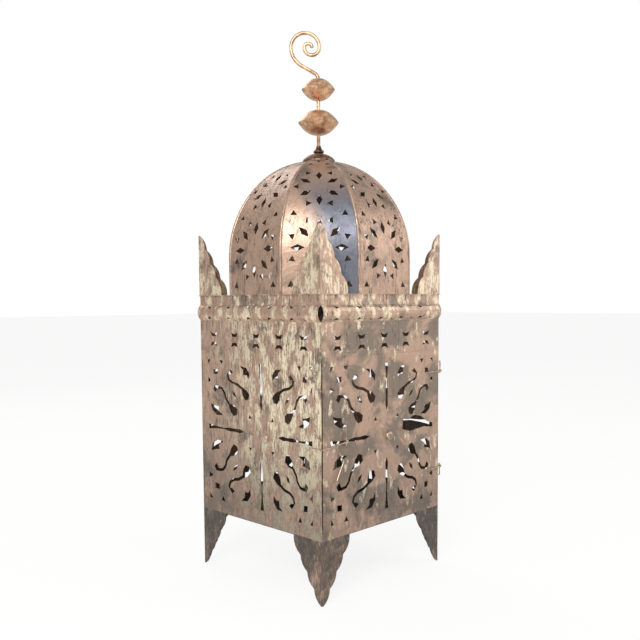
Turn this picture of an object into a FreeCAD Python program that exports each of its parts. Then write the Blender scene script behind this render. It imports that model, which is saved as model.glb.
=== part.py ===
"""Candle lantern that stands on the floor: a pierced sheet box on four scalloped feet, with a hinged
door, an eight-sided dome of single-curved gores, and a finial of two hollow balls and a wire scroll.

Millimetres. +Z is up, the floor is z = 0, the origin is under the middle of the box, and the door
faces -Y. Every piece is drawn facing -Y with z = 0 at its own seat; its Placement turns it to its
side and lifts it to its level.
"""
import FreeCAD
import Part
import math
import os
from FreeCAD import Placement, Rotation, Vector

SIZES = (
    # the box
    ("box_width", 360, "across the box, outside, both ways"),
    ("box_height", 459.5, "underside of the floor plate to the top of the deck"),
    ("foot_height", 122, "ground to the underside of the floor plate"),
    ("sheet_gauge", 1.2, "thickness of the walls, door, deck, cornice and dome"),
    ("band_height", 18.6, "flat band between the cornice roll and the deck"),
    ("roll_height", 32.4, "half-round cornice roll, edge to edge"),
    ("roll_rise", 8, "how far the roll stands out from the walls"),
    ("deck_lip", 3, "how far the deck stands out past the walls"),
    ("deck_opening", 150, "axis to a side of the opening in the deck under the dome"),
    ("post_leg", 18, "leg of the angle inside each corner"),
    # feet and horns
    ("leaf_gauge", 1.5, "thickness of the folded feet and horns"),
    ("foot_leaf_width", 76, "width of one leaf of a foot where it meets the box"),
    ("horn_leaf_width", 74, "width of one leaf of a horn at the deck"),
    ("horn_height", 126, "height of a horn above the deck"),
    ("leaf_tip_width", 3, "width left at the tip of a foot or a horn leaf"),
    ("scallop_bulge", 4.5, "how far each scallop swells past the line between its cusps"),
    # door and front
    ("door_margin", 3, "corner of the box back to the side edge of the door"),
    ("door_height", 326, "height of the door sheet"),
    ("door_sill", 15, "underside of the floor plate to the lower edge of the door"),
    ("door_gap", 0.4, "air between the door and the front it shuts against"),
    ("door_lap", 8, "how far the door laps the rail below it and the neck above it"),
    # pierced work on the walls
    ("pattern_level", 176, "underside of the floor plate to the centre of the pierced pattern"),
    ("pattern_margin", 23, "corner of the box back to the side edge of the pierced pattern"),
    ("pattern_half_height", 149, "centre to top edge of the pierced pattern"),
    ("wall_pattern_shift", 13, "how far the middle of the pattern drifts sideways on a wall"),
    ("door_pattern_shift", 5, "the same on the door"),
    ("pattern_lift", 6, "how far the middle of the pattern drifts upwards"),
    ("stem_width", 6, "width of the curling stems"),
    ("bulb_radius", 11.5, "half size of the bud at the end of a stem"),
    ("nick_size", 12, "side of the small triangles and squares"),
    ("chevron_pitch", 67.5, "distance between neighbouring chevron pairs"),
    ("chevron_width", 23, "tip to tip of one chevron"),
    ("chevron_row_gap", 21, "distance between the two rows of chevrons"),
    ("chevron_drop", 39, "foot of the cornice roll down to the middle of the chevron rows"),
    ("wall_boss_shift", 25, "middle of a wall to its boss"),
    ("door_boss_shift", 13, "middle of the door to its boss"),
    ("boss_radius", 9, "boss raised from the sheet in the middle of each wall"),
    ("boss_rise", 5, "height of that boss"),
    # dome
    ("dome_lip", 2, "how far the gores stand out past the walls at their foot"),
    ("dome_wall", 76, "height of the upright foot of a gore"),
    ("dome_height", 279, "deck to the top of the dome's curve on the axis"),
    ("dome_neck_radius", 22, "where the gores stop under the cap"),
    ("strap_width", 7, "width of the strap over each seam"),
    ("strap_rise", 1.4, "how far a strap stands above the ridge"),
    ("ring_height", 12, "upstand inside the foot of the gores"),
    # finial, levels above the top of the dome's curve
    ("cap_radius", 34, "spun cap over the neck of the dome"),
    ("cap_crown", 17.3, "top of the cap"),
    ("cap_rim", 4, "upright rim of the cap"),
    ("collar_radius", 11.3, "bead on the cap"),
    ("collar_height", 15.2, "bead and cone together"),
    ("rod_radius", 3.8, "wire of the finial's rod and scroll"),
    ("rod_clearance", 0.1, "radial air round the rod"),
    ("bowl_gauge", 1.2, "thickness of the spun bowls"),
    ("bowl_neck_radius", 7, "neck of each bowl round the rod"),
    ("lower_ball_radius", 42.5, "rim of the lower ball"),
    ("lower_ball_height", 50.6, "neck to neck"),
    ("lower_ball_level", 80.5, "rim of the lower ball"),
    ("upper_ball_radius", 34.7, "rim of the upper ball"),
    ("upper_ball_height", 43.8, "neck to neck"),
    ("upper_ball_level", 148.3, "rim of the upper ball"),
    ("scroll_level", 234.5, "middle of the scroll"),
    ("scroll_radius", 30, "first full turn of the scroll, to the middle of the wire"),
    ("scroll_inner_radius", 15.7, "second turn"),
    ("scroll_eye_radius", 8, "last turn"),
    ("scroll_entry_radius", 42, "sweep that runs into the first turn"),
    ("scroll_neck_radius", 13, "bend where the scroll leaves the rod"),
    ("scroll_heading", 60, "degrees the neck leans from upright"),
    # wire hinges, catch and latch
    ("hinge_wire_radius", 1.3, "wire of the hinges"),
    ("hinge_reach", 15.2, "side wall out to the hinge axis"),
    ("hinge_setback", 7, "front of the box back to the hinge axis"),
    ("staple_height", 24, "leg to leg of a hinge staple, middle of the wire"),
    ("lower_hinge_level", 66, "underside of the floor plate to the lower leg of the lower staple"),
    ("upper_hinge_level", 290.5, "underside of the floor plate to the lower leg of the upper staple"),
    ("hinge_leg_length", 46, "wire of a hinge that lies on the door"),
    ("wire_clearance", 0.4, "air between a wire and the eye round it"),
    ("seat_gap", 0.1, "solder line under a wire that lies on a sheet"),
    ("latch_wire_radius", 1.2, "wire of the catch and the latch arm"),
    ("catch_inset", 58, "door edge to the catch wire"),
    ("catch_reach", 4.8, "door face to the middle of the catch wire"),
    ("catch_height", 32, "leg to leg of the catch staple"),
    ("catch_level", 159, "lower edge of the door to the lower leg of the catch"),
    ("arm_level", 7, "lower leg of the catch up to the eye of the arm"),
    ("arm_slope", 6, "degrees the arm falls towards the corner"),
    ("arm_tail", 27, "how far the arm reaches back along the side wall"),
    ("keeper_inset", 27, "catch wire to the eye of the keeper"),
    ("keeper_wire_radius", 1, "wire of the keeper"),
    ("keeper_drop", 66, "eye of the keeper to its lower end"),
    ("keeper_elbow", 19, "how far the elbow of the keeper stands to the side"),
    ("prong_length", 30, "wire prong on the side wall by the latch"),
    ("prong_slope", 46, "degrees the prong falls towards the corner"),
    # candle
    ("pan_width", 96, "square candle pan, outside"),
    ("pan_rim", 9, "height of its rim"),
    ("spike_width", 6, "foot of the square pricket"),
    ("spike_height", 26, "height of the pricket above the pan"),
    ("spike_clearance", 0.1, "air round the shank of the pricket"),
    ("candle_radius", 35, "pillar candle"),
    ("candle_height", 110, "height of the candle"),
    ("candle_clearance", 0.4, "air between the pricket and the hole in the candle"),
    ("wick_radius", 1, "wick"),
    ("wick_height", 12, "wick above the candle"),
)

FLOOR_UNDER = "Sizes.foot_height"
FLOOR_TOP = "(Sizes.foot_height + Sizes.sheet_gauge)"
DECK_TOP = "(Sizes.foot_height + Sizes.box_height)"
DECK_UNDER = "(Sizes.foot_height + Sizes.box_height - Sizes.sheet_gauge)"
ROLL_TOP = "(" + DECK_UNDER + " - Sizes.band_height)"
ROLL_FOOT = "(" + ROLL_TOP + " - Sizes.roll_height)"
DOOR_FOOT = "(Sizes.foot_height + Sizes.door_sill)"
NECK_FOOT = "(" + DOOR_FOOT + " + Sizes.door_height - Sizes.door_lap)"
DOME_TOP = "(" + DECK_TOP + " + Sizes.dome_height)"
DOOR_WIDTH = "(Sizes.box_width - 2 * Sizes.door_margin)"
DOME_APOTHEM = "(Sizes.box_width / 2 + Sizes.dome_lip)"

SIDE_TURNS = {"front": 0, "right": 90, "back": 180, "left": -90}
CORNER_TURNS = {"front_left": 0, "front_right": 90, "back_right": 180, "back_left": 270}
GORES = 8
GORE_ANGLE = 360 / GORES
SHOULDER_ANGLE = 45          # the dome's lower arc ends here and its upper arc begins
WIRE_SIDES = 6               # a wire is drawn with this many flats
TURNED_SIDES = 28            # turned work and bowls have this many
BOSS_SIDES = 12
EYE_SIDES = 8                # and an eye with this many chords
STEM_SIDES = 8               # the stem of the finial has this many flats
SCROLL_STEP = 18             # degrees to a chord of the scroll
ARC_CHORDS = 4               # chords to a scallop
ROLL_CHORDS = 5              # flats across the cornice roll
LOWER_FLATS = 6              # flats that a gore is bent in, below its shoulder
UPPER_FLATS = 5              # and above it
UP = Vector(0, 0, 1)

doc = FreeCAD.newDocument("lantern")
nodes = []


def make_sheet():
    """The driving sizes: one plain number to a row, with its name and what it measures."""
    table = doc.addObject("Spreadsheet::Sheet", "Sizes")
    for row, (alias, number, note) in enumerate(SIZES, start=1):
        table.set(f"A{row}", str(number))
        table.setAlias(f"A{row}", alias)
        table.set(f"B{row}", note)
    doc.recompute()
    return table


sheet = make_sheet()


def size(alias):
    return float(sheet.get(alias))


def dome_apothem():
    """The axis to the outer face of a gore at its foot."""
    return size("box_width") / 2 + size("dome_lip")


def door_width():
    return size("box_width") - 2 * size("door_margin")


def pattern_half_width():
    return size("box_width") / 2 - size("pattern_margin")


# ---------------------------------------------------------------- document helpers

def bind(piece, **formulas):
    """Tie properties to the sheet; x, y and z stand for the placement."""
    names = {"x": "Placement.Base.x", "y": "Placement.Base.y", "z": "Placement.Base.z"}
    for name, formula in formulas.items():
        piece.setExpression(names.get(name, name), formula)


def turn(piece, degrees):
    piece.Placement = Placement(piece.Placement.Base, Rotation(UP, degrees))


def node(piece, label):
    """A finished sub-part: its Label names its file."""
    piece.Label = label
    nodes.append(piece)
    return piece


def feature(name, shape):
    piece = doc.addObject("Part::Feature", name)
    piece.Shape = shape
    return piece


def sheet_box(name, length, width, height, **base):
    piece = doc.addObject("Part::Box", name)
    bind(piece, Length=length, Width=width, Height=height, **base)
    return piece


def octagon(name, apothem, height):
    """An upright eight-sided block with a flat towards each side of the box."""
    piece = doc.addObject("Part::Prism", name)
    piece.Polygon = GORES
    bind(piece, Circumradius=f"({apothem}) / cos({GORE_ANGLE / 2} deg)", Height=height)
    piece.Placement = Placement(Vector(0, 0, 0), Rotation(UP, GORE_ANGLE / 2))
    return piece


def cut(name, base, tool):
    piece = doc.addObject("Part::Cut", name)
    piece.Base = base
    piece.Tool = tool
    return piece


def extrude(name, base, direction, length, symmetric=False):
    piece = doc.addObject("Part::Extrusion", name)
    piece.Base = base
    piece.DirMode = "Custom"
    piece.Dir = direction
    piece.Solid = True
    piece.Symmetric = symmetric
    bind(piece, LengthFwd=length)
    return piece


def face_of(points, arcs=None):
    """A flat face from corner points; arcs maps an edge's number to the point it bulges through."""
    arcs = arcs or {}
    edges = []
    for i, start in enumerate(points):
        end = points[(i + 1) % len(points)]
        if i in arcs:
            edges.append(Part.Arc(start, arcs[i], end).toShape())
        else:
            edges.append(Part.LineSegment(start, end).toShape())
    return Part.Face(Part.Wire(edges))


def chords(start, end, bulge, count):
    """Points along an arc that bulges to the left of the line from start to end."""
    (x0, z0), (x1, z1) = start, end
    span = math.hypot(x1 - x0, z1 - z0)
    radius = (span * span / 4 + bulge * bulge) / (2 * bulge)
    half = math.asin(span / 2 / radius)
    points = []
    for i in range(count + 1):
        angle = half * (2 * i / count - 1)
        along = 0.5 + radius * math.sin(angle) / span
        out = (radius * math.cos(angle) - radius + bulge) / span
        points.append((x0 + (x1 - x0) * along - (z1 - z0) * out, z0 + (z1 - z0) * along + (x1 - x0) * out))
    return points


def flat_face(corners):
    return Part.Face(Part.makePolygon(corners + corners[:1]))


def turned(profile, sides, bored=True):
    """A solid about the axis in narrow flats, from (radius, height) points that end where they began.

    Without a bore the profile runs from the rim of its first disc to the rim of its last.
    """
    angles = [2 * math.pi * i / sides for i in range(sides)]
    rings = [[Vector(r * math.cos(a), r * math.sin(a), z) for a in angles] for r, z in profile]
    following = rings[1:] + rings[:1] if bored else rings[1:]
    faces = []
    for ring, other in zip(rings, following):
        for i in range(sides):
            j = (i + 1) % sides
            faces.append(flat_face([ring[i], ring[j], other[j], other[i]]))
    if not bored:
        faces += [flat_face(rings[0]), flat_face(rings[-1])]
    return Part.makeSolid(Part.makeShell(faces))


def ring_points(centre, across, other, radius, sides):
    """The corners of a regular outline about centre, closed."""
    angles = [2 * math.pi * (i + 0.5) / sides for i in range(sides)]
    corners = [centre + across * (radius * math.cos(a)) + other * (radius * math.sin(a)) for a in angles]
    return corners + corners[:1]


def swept_wire(points, radius, sides=WIRE_SIDES):
    """A wire with mitred bends; its corners touch the round of that radius."""
    heading = Vector(points[1] - points[0]).normalize()
    across = heading.cross(UP)
    if across.Length < 0.1:
        across = Vector(0, 1, 0)
    across.normalize()
    section = Part.makePolygon(ring_points(points[0], across, heading.cross(across), radius, sides))
    return Part.makePolygon(points).makePipeShell([section], True, False, 1)


def eye(centre, axis, radius, wire_radius):
    """A closed eye of wire; radius is that of the middle of the wire."""
    axis = Vector(axis).normalize()
    across = axis.cross(Vector(0, 1, 0)) if abs(axis.y) < 0.9 else Vector(1, 0, 0)
    across.normalize()
    corners = ring_points(centre, across, axis.cross(across), radius / math.cos(math.pi / EYE_SIDES), EYE_SIDES)
    out = (corners[1] - corners[0]).normalize().cross(axis)
    section = Part.makePolygon(ring_points(corners[0], out, axis, wire_radius, WIRE_SIDES))
    return Part.makePolygon(corners).makePipeShell([section], True, False, 1)


def fused(*shapes):
    return shapes[0].multiFuse(list(shapes[1:])).removeSplitter()


# ---------------------------------------------------------------- flat blanks drawn as sketches

def sketch_on(body, role, name):
    sketch = body.newObject("Sketcher::SketchObject", name)
    plane = [f for f in body.Origin.OriginFeatures if f.Role == role][0]
    sketch.AttachmentSupport = [(plane, "")]
    sketch.MapMode = "FlatFace"
    return sketch


def centred_square(sketch, across):
    """A square about the origin, driven by one named constraint."""
    import Sketcher
    half = 50
    ring = [Vector(-half, -half, 0), Vector(half, -half, 0), Vector(half, half, 0), Vector(-half, half, 0)]
    for i, start in enumerate(ring):
        sketch.addGeometry(Part.LineSegment(start, ring[(i + 1) % 4]), False)
    for i in range(4):
        sketch.addConstraint(Sketcher.Constraint("Coincident", i, 2, (i + 1) % 4, 1))
    for i in range(4):
        sketch.addConstraint(Sketcher.Constraint("Horizontal" if i % 2 == 0 else "Vertical", i))
    sketch.addConstraint(Sketcher.Constraint("Symmetric", 0, 1, 2, 1, -1, 1))
    sketch.addConstraint(Sketcher.Constraint("Equal", 0, 1))
    width = sketch.addConstraint(Sketcher.Constraint("DistanceX", 0, 1, 0, 2, 2 * half))
    sketch.renameConstraint(width, "across")
    sketch.setExpression("Constraints.across", across)


def square_plate(name, across, hole, level):
    """A square plate of sheet with a square hole in the middle."""
    body = doc.addObject("PartDesign::Body", name)
    outline = sketch_on(body, "XY_Plane", name + "_outline")
    centred_square(outline, across)
    pad = body.newObject("PartDesign::Pad", name + "_pad")
    pad.Profile = outline
    pad.setExpression("Length", "Sizes.sheet_gauge")
    doc.recompute()
    opening = sketch_on(body, "XY_Plane", name + "_hole")
    centred_square(opening, hole)
    pocket = body.newObject("PartDesign::Pocket", name + "_pocket")
    pocket.Profile = opening
    pocket.Type = "ThroughAll"
    pocket.Reversed = True
    outline.Visibility = False
    bind(body, z=level)
    doc.recompute()
    return node(body, name)


def post(name, degrees):
    """The angle inside one corner: an L drawn in plan and padded from the floor plate to the deck."""
    import Sketcher
    body = doc.addObject("PartDesign::Body", name)
    plan = sketch_on(body, "XY_Plane", name + "_plan")
    inset, leg, gauge = -100, 20, 2
    ring = [(0, 0), (leg, 0), (leg, gauge), (gauge, gauge), (gauge, leg), (0, leg)]
    corners = [Vector(inset + x, inset + y, 0) for x, y in ring]
    for i, start in enumerate(corners):
        plan.addGeometry(Part.LineSegment(start, corners[(i + 1) % 6]), False)
    for i in range(6):
        plan.addConstraint(Sketcher.Constraint("Coincident", i, 2, (i + 1) % 6, 1))
    for i in range(6):
        plan.addConstraint(Sketcher.Constraint("Horizontal" if i % 2 == 0 else "Vertical", i))
    plan.addConstraint(Sketcher.Constraint("Equal", 0, 5))
    plan.addConstraint(Sketcher.Constraint("Equal", 1, 4))
    driven = (
        ("leg", Sketcher.Constraint("DistanceX", 0, 1, 0, 2, leg), "Sizes.post_leg"),
        ("gauge", Sketcher.Constraint("DistanceY", 1, 1, 1, 2, gauge), "Sizes.sheet_gauge"),
        ("across", Sketcher.Constraint("DistanceX", 0, 1, -1, 1, -inset), "Sizes.box_width / 2 - Sizes.sheet_gauge"),
        ("back", Sketcher.Constraint("DistanceY", 0, 1, -1, 1, -inset), "Sizes.box_width / 2 - Sizes.sheet_gauge"),
    )
    for label, constraint, formula in driven:
        plan.renameConstraint(plan.addConstraint(constraint), label)
        plan.setExpression("Constraints." + label, formula)
    pad = body.newObject("PartDesign::Pad", name + "_pad")
    pad.Profile = plan
    pad.setExpression("Length", DECK_UNDER + " - " + FLOOR_TOP)
    plan.Visibility = False
    turn(body, degrees)
    bind(body, z=FLOOR_TOP)
    return node(body, name)


# ---------------------------------------------------------------- pierced work

def prism(points, depth):
    """A cutter through a wall that faces -Y: (across, up) points, pushed depth both ways in Y."""
    ring = [Vector(x, -depth, z) for x, z in points]
    return face_of(ring).extrude(Vector(0, 2 * depth, 0))


def mirrored(points, across, up):
    return [(x * across, z * up) for x, z in points]


def offset_path(path, distance):
    """The path moved sideways by distance, mitred at its inner points."""
    moved = []
    for i, (x, z) in enumerate(path):
        x0, z0 = path[max(i - 1, 0)]
        x1, z1 = path[min(i + 1, len(path) - 1)]
        length = math.hypot(x1 - x0, z1 - z0)
        moved.append((x - (z1 - z0) / length * distance, z + (x1 - x0) / length * distance))
    return moved


def curling_stem(head, path, bulb):
    """One stem of the pattern: a leaf-shaped head, a narrow stem along the path and a bud."""
    half = size("stem_width") / 2
    bud = size("bulb_radius")
    left = offset_path(path, half)
    right = offset_path(path, -half)
    x, z = bulb
    last_x, last_z = path[-1]
    away = math.atan2(z - last_z, x - last_x)
    around = [math.radians(degrees) for degrees in (130, 60, 0, -60, -130)]
    bud_points = [(x + bud * math.cos(away + a), z + bud * math.sin(away + a)) for a in around]
    return left + bud_points + right[::-1] + head


def quadrant():
    """The pattern in the upper right quarter of a wall, drawn on a grid as wide and high as the quarter."""
    nick = size("nick_size")
    corner = [(157, 149), (157 - nick * 0.75, 149), (157, 149 - nick * 0.9)]
    down = [(117 - nick / 2, 149), (117 + nick / 2, 149), (117, 149 - nick * 0.85)]
    inward = [(157, 102 + nick / 2), (157 - nick * 0.9, 102), (157, 102 - nick / 2)]
    half = nick / 2
    square = [(134 - half, 123 - half), (135 + half, 122 - half), (134 + half, 121 + half), (134 - half, 122 + half)]
    centre = [(34 - nick * 0.4, 33 - nick * 0.3), (34 + nick * 0.4, 33 - nick * 0.3), (34, 33 + nick * 0.4)]
    leaf = [(87, 85), (77, 79), (72, 68), (83, 74)]
    upper_stem = curling_stem(
        head=[(90, 119), (82, 124), (91, 130)],
        path=[(99, 118), (96, 108), (85, 101), (70, 98), (57, 91)],
        bulb=(45, 77))
    lower_stem = curling_stem(
        head=[(138, 91), (143, 82), (135, 75)],
        path=[(129, 88), (117, 86), (109, 77), (105, 65), (95, 53)],
        bulb=(81, 40.5))
    top_hook = [(36, 111), (34, 124), (44, 137), (63, 139), (53, 131), (52, 120), (42, 120)]
    side_hook = [(113, 28), (132, 26), (146, 35), (151, 51), (139, 47), (126, 45), (128, 36)]
    return [corner, down, inward, square, centre, leaf, upper_stem, lower_stem, top_hook, side_hook]


def slot(start, end):
    """A wavering slot along x, pointed at its start and flared at its end."""
    shape = ((0, 0), (0.14, 4.5), (0.26, 3), (0.42, 4), (0.57, 1.3), (0.8, 2.5), (1, 5.5))
    upper = [(start + (end - start) * share, half) for share, half in shape]
    return upper + [(x, -z) for x, z in reversed(upper[1:])]


def torn_slot(start, end):
    """The door's right-hand slot, worn into a ragged hole."""
    shape = ((1, 4), (0.82, 9), (0.62, 22), (0.38, 28), (0.2, 20), (0.03, 23), (0, 2), (0.25, -5), (0.7, -1), (1, -5))
    return [(start + (end - start) * share, z) for share, z in shape]


def wall_pattern(shift, torn=False):
    """Every cut-out of a wall about the centre of its pattern, whose middle drifts off to one side and up."""
    reach_x, reach_z = 157, 149
    lift = size("pattern_lift")
    outlines = []
    for across, up in ((1, 1), (-1, 1), (-1, -1), (1, -1)):
        for outline in quadrant():
            outlines.append(mirrored(outline, across, up))
    for sign in (1, -1):
        along = torn_slot(50, reach_x) if torn and sign == 1 else slot(50, reach_x)
        outlines.append([(sign * x, z) for x, z in along])
        outlines.append([(x, sign * z) for z, x in slot(46, reach_z - 2)])

    def drifted(x, z):
        """The cutter's hand: the middle of the pattern stands off its true place, the edges do not."""
        x_share = x / reach_x
        z_share = z / reach_z
        return (x_share * pattern_half_width() + shift * (1 - x_share * x_share),
                z_share * size("pattern_half_height") + lift * (1 - z_share * z_share))

    return [[drifted(x, z) for x, z in outline] for outline in outlines]


def chevrons():
    """Five pairs of chevrons about the middle of their two rows, each pair open to the other's back."""
    half = size("chevron_width") / 2
    rise = half * 0.4
    shape = [(-half, rise), (0, rise * 0.2), (half, rise), (half * 0.57, -rise), (-half * 0.57, -rise)]
    outlines = []
    for place in range(-2, 3):
        x = place * size("chevron_pitch")
        z = size("chevron_row_gap") / 2
        outlines.append([(x + dx, z + dz) for dx, dz in shape])
        outlines.append([(x + dx, -z - dz) for dx, dz in shape])
    return outlines


def cutter(name, outlines, level, depth):
    """One tool for all the outlines, centred level above the seat of the wall that it pierces."""
    raised = [[(x, z + level) for x, z in outline] for outline in outlines]
    prisms = [prism(points, depth) for points in raised]
    return feature(name, Part.makeCompound(prisms))


# ---------------------------------------------------------------- the box

def make_floor_and_deck():
    """The floor, pierced for the pricket, and the deck, open under the dome."""
    square_plate("base_plate", "Sizes.box_width", "Sizes.spike_width + 2 * Sizes.spike_clearance", FLOOR_UNDER)
    width = "(Sizes.box_width + 2 * Sizes.deck_lip)"
    plate = sheet_box("deck_plate", width, width, "Sizes.sheet_gauge",
                      x=f"-{width} / 2", y=f"-{width} / 2")
    opening = octagon("deck_opening", "Sizes.deck_opening", "Sizes.sheet_gauge")
    deck = cut("deck", plate, opening)
    bind(deck, z=DECK_UNDER)
    node(deck, "top_deck")


def make_posts():
    for corner, degrees in CORNER_TURNS.items():
        post("corner_post_" + corner, degrees)


def wall_blank(name, inset):
    """A wall facing -Y, from the floor plate to the cornice; inset is taken off each end."""
    return sheet_box(name, "Sizes.box_width - 2 * " + inset, "Sizes.sheet_gauge",
                     ROLL_FOOT + " - " + FLOOR_TOP,
                     x="-Sizes.box_width / 2 + " + inset, y="-Sizes.box_width / 2")


def boss(name, label):
    """A hollow stud of sheet that sits on the face of a wall, drawn on the plane of the front."""
    blocks = []
    for part, inset in (("outside", 0), ("hollow", size("sheet_gauge"))):
        radius = size("boss_radius") - inset
        rise = size("boss_rise") - inset
        profile = [(radius, -inset), (radius, 0), (radius * 0.8, rise * 0.6), (radius * 0.35, rise)]
        block = turned(profile if inset else profile[1:], BOSS_SIDES, bored=False)
        block.rotate(Vector(0, 0, 0), Vector(1, 0, 0), 90)
        blocks.append(feature(f"{name}_{part}", Part.makeCompound([block])))
    return node(cut(name, *blocks), label)


def make_bosses():
    """One boss in the middle of the pattern of each fixed wall, and one on the door."""
    level = "Sizes.foot_height + Sizes.pattern_level"
    half = "Sizes.box_width / 2"
    shift = "Sizes.wall_boss_shift"
    places = (("left", "-" + half, "-" + shift), ("right", half, shift), ("back", "-" + shift, half))
    for side, x, y in places:
        piece = boss("boss_" + side, "wall_boss_" + side)
        turn(piece, SIDE_TURNS[side])
        bind(piece, x=x, y=y, z=level)
    piece = boss("boss_front", "door_boss")
    bind(piece, x="Sizes.door_boss_shift", y=f"-{half} - Sizes.door_gap - Sizes.sheet_gauge", z=level)


def make_walls():
    """Three walls, each one sheet pierced with the pattern and with chevrons above it."""
    depth = size("box_width")
    wall_height = (size("box_height") - 2 * size("sheet_gauge") - size("band_height") - size("roll_height"))
    level = size("pattern_level") - size("sheet_gauge")
    pattern = cutter("wall_pattern", wall_pattern(size("wall_pattern_shift")), level, depth)
    row = cutter("wall_chevrons", chevrons(), wall_height - size("chevron_drop"), depth)
    tool = doc.addObject("Part::Compound", "wall_cutter")
    tool.Links = [pattern, row]
    for side, inset in (("left", "0"), ("right", "0"), ("back", "Sizes.sheet_gauge")):
        blank = wall_blank(side + "_wall_blank", inset)
        wall = cut("wall_" + side, blank, tool)
        turn(wall, SIDE_TURNS[side])
        bind(wall, z=FLOOR_TOP)
        node(wall, "side_panel_" + side)


def make_front():
    """The fixed front: a rail under the door and a pierced neck over it."""
    inner = "Sizes.box_width - 2 * Sizes.sheet_gauge"
    at = {"x": "-Sizes.box_width / 2 + Sizes.sheet_gauge", "y": "-Sizes.box_width / 2"}
    rail = sheet_box("rail", inner, "Sizes.sheet_gauge",
                     "Sizes.door_sill + Sizes.door_lap - Sizes.sheet_gauge", z=FLOOR_TOP, **at)
    node(rail, "front_bottom_rail")
    blank = sheet_box("neck_blank", inner, "Sizes.sheet_gauge", ROLL_FOOT + " - " + NECK_FOOT, **at)
    neck_height = (size("box_height") - size("sheet_gauge") - size("band_height") - size("roll_height")
                   - size("door_sill") - size("door_height") + size("door_lap"))
    row = cutter("neck_chevrons", chevrons(), neck_height - size("chevron_drop"), size("box_width"))
    neck = cut("neck", blank, row)
    bind(neck, z=NECK_FOOT)
    node(neck, "front_neck_panel")


def roll_profile():
    """Section of the cornice roll: a half-round of sheet that stands on the wall's upper edge."""
    face = -size("box_width") / 2
    gauge = size("sheet_gauge")
    height = size("roll_height")
    outer = chords((face, 0), (face, height), size("roll_rise"), ROLL_CHORDS)
    inner = [(y + gauge, z) for y, z in reversed(outer)]
    return face_of([Vector(0, y, z) for y, z in outer + inner])


def roll_outlines():
    """Darts and hooks by turns in two rows that mirror each other."""
    dart = [(-7, 2.5), (7, -0.5), (-1, -3.5)]
    hook = [(-7, -2.5), (2, 2.5), (7, 2.5)]
    motifs = 5
    pitch = size("chevron_pitch") * 0.93
    outlines = []
    for place in range(motifs):
        for shape, shift in ((dart, -0.27), (hook, 0.27)):
            x = (place - (motifs - 1) / 2 + shift) * pitch
            z = size("roll_height") * 0.35
            outlines.append([(x + dx, z + dz) for dx, dz in shape])
            outlines.append([(x + dx, -z - dz) for dx, dz in shape])
    return outlines


def make_cornice():
    """Four lengths of half-round roll, cut square, so that they gape where they meet at the corners."""
    profile = feature("roll_section", roll_profile())
    tool = cutter("roll_cutter", roll_outlines(), size("roll_height") / 2, size("box_width"))
    for side, degrees in SIDE_TURNS.items():
        inset = "0" if side in ("left", "right") else "2 * Sizes.sheet_gauge"
        blank = extrude(side + "_roll_blank", profile, Vector(1, 0, 0), "Sizes.box_width - " + inset, True)
        roll = cut("roll_" + side, blank, tool)
        turn(roll, degrees)
        bind(roll, z=ROLL_FOOT)
        node(roll, "cornice_" + side)


def make_band():
    """The flat band round the top of the box, one strip bent square."""
    outer = sheet_box("band_outer", "Sizes.box_width", "Sizes.box_width", "Sizes.band_height",
                      x="-Sizes.box_width / 2", y="-Sizes.box_width / 2")
    inner = sheet_box("band_inner", "Sizes.box_width - 2 * Sizes.sheet_gauge",
                      "Sizes.box_width - 2 * Sizes.sheet_gauge", "Sizes.band_height",
                      x="-Sizes.box_width / 2 + Sizes.sheet_gauge", y="-Sizes.box_width / 2 + Sizes.sheet_gauge")
    band = cut("band", outer, inner)
    bind(band, z=ROLL_TOP)
    node(band, "top_band")


# ---------------------------------------------------------------- feet and horns

def scalloped_leaf(width, height, gauge_face):
    """One leaf of a folded corner piece: straight along the corner, scalloped along its free edge.

    It stands on z = 0 at its full width and rises to a blunt tip.
    """
    tip = size("leaf_tip_width")
    scallops = 4
    foot = height * 0.05
    outline = [(0, height), (0, 0), (width, 0)]
    start = (width, foot)
    for k in range(1, scallops + 1):
        share = k / scallops
        end = (width + (tip - width) * share, foot + (height - foot) * share)
        outline += chords(end, start, size("scallop_bulge"), ARC_CHORDS)[::-1][:-1]
        start = end
    outline.append(start)
    return face_of([Vector(gauge_face + x, gauge_face, z) for x, z in outline])


def folded_corner(name, width, height, overhang):
    """Two mirrored leaves that meet along the front left corner."""
    profile = feature(name + "_leaf", scalloped_leaf(width, height, -size("box_width") / 2 - overhang))
    front = extrude(name + "_front_leaf", profile, Vector(0, 1, 0), "Sizes.leaf_gauge")
    side = doc.addObject("Part::Mirroring", name + "_side_leaf")
    side.Source = front
    side.Base = Vector(0, 0, 0)
    side.Normal = Vector(1, -1, 0)
    return front, side


def make_corner_pieces(name, front, side, level, upside_down):
    for corner, degrees in CORNER_TURNS.items():
        piece = doc.addObject("Part::Fuse", name + "_" + corner + "_fuse")
        piece.Base = front
        piece.Tool = side
        piece.Refine = True
        if upside_down:
            # a half turn about the corner's own diagonal hangs the piece from its seat
            flip = Rotation(Vector(1, 1, 0), 180)
            piece.Placement = Placement(Vector(0, 0, 0), Rotation(UP, degrees).multiply(flip))
        else:
            turn(piece, degrees)
        bind(piece, z=level)
        node(piece, name + "_" + corner)


def make_feet_and_horns():
    front, side = folded_corner("foot", size("foot_leaf_width"), size("foot_height"), 0)
    make_corner_pieces("foot", front, side, FLOOR_UNDER, True)
    front, side = folded_corner("horn", size("horn_leaf_width"), size("horn_height"), size("deck_lip") / 3)
    make_corner_pieces("horn", front, side, DECK_TOP, False)


# ---------------------------------------------------------------- the dome

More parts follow.
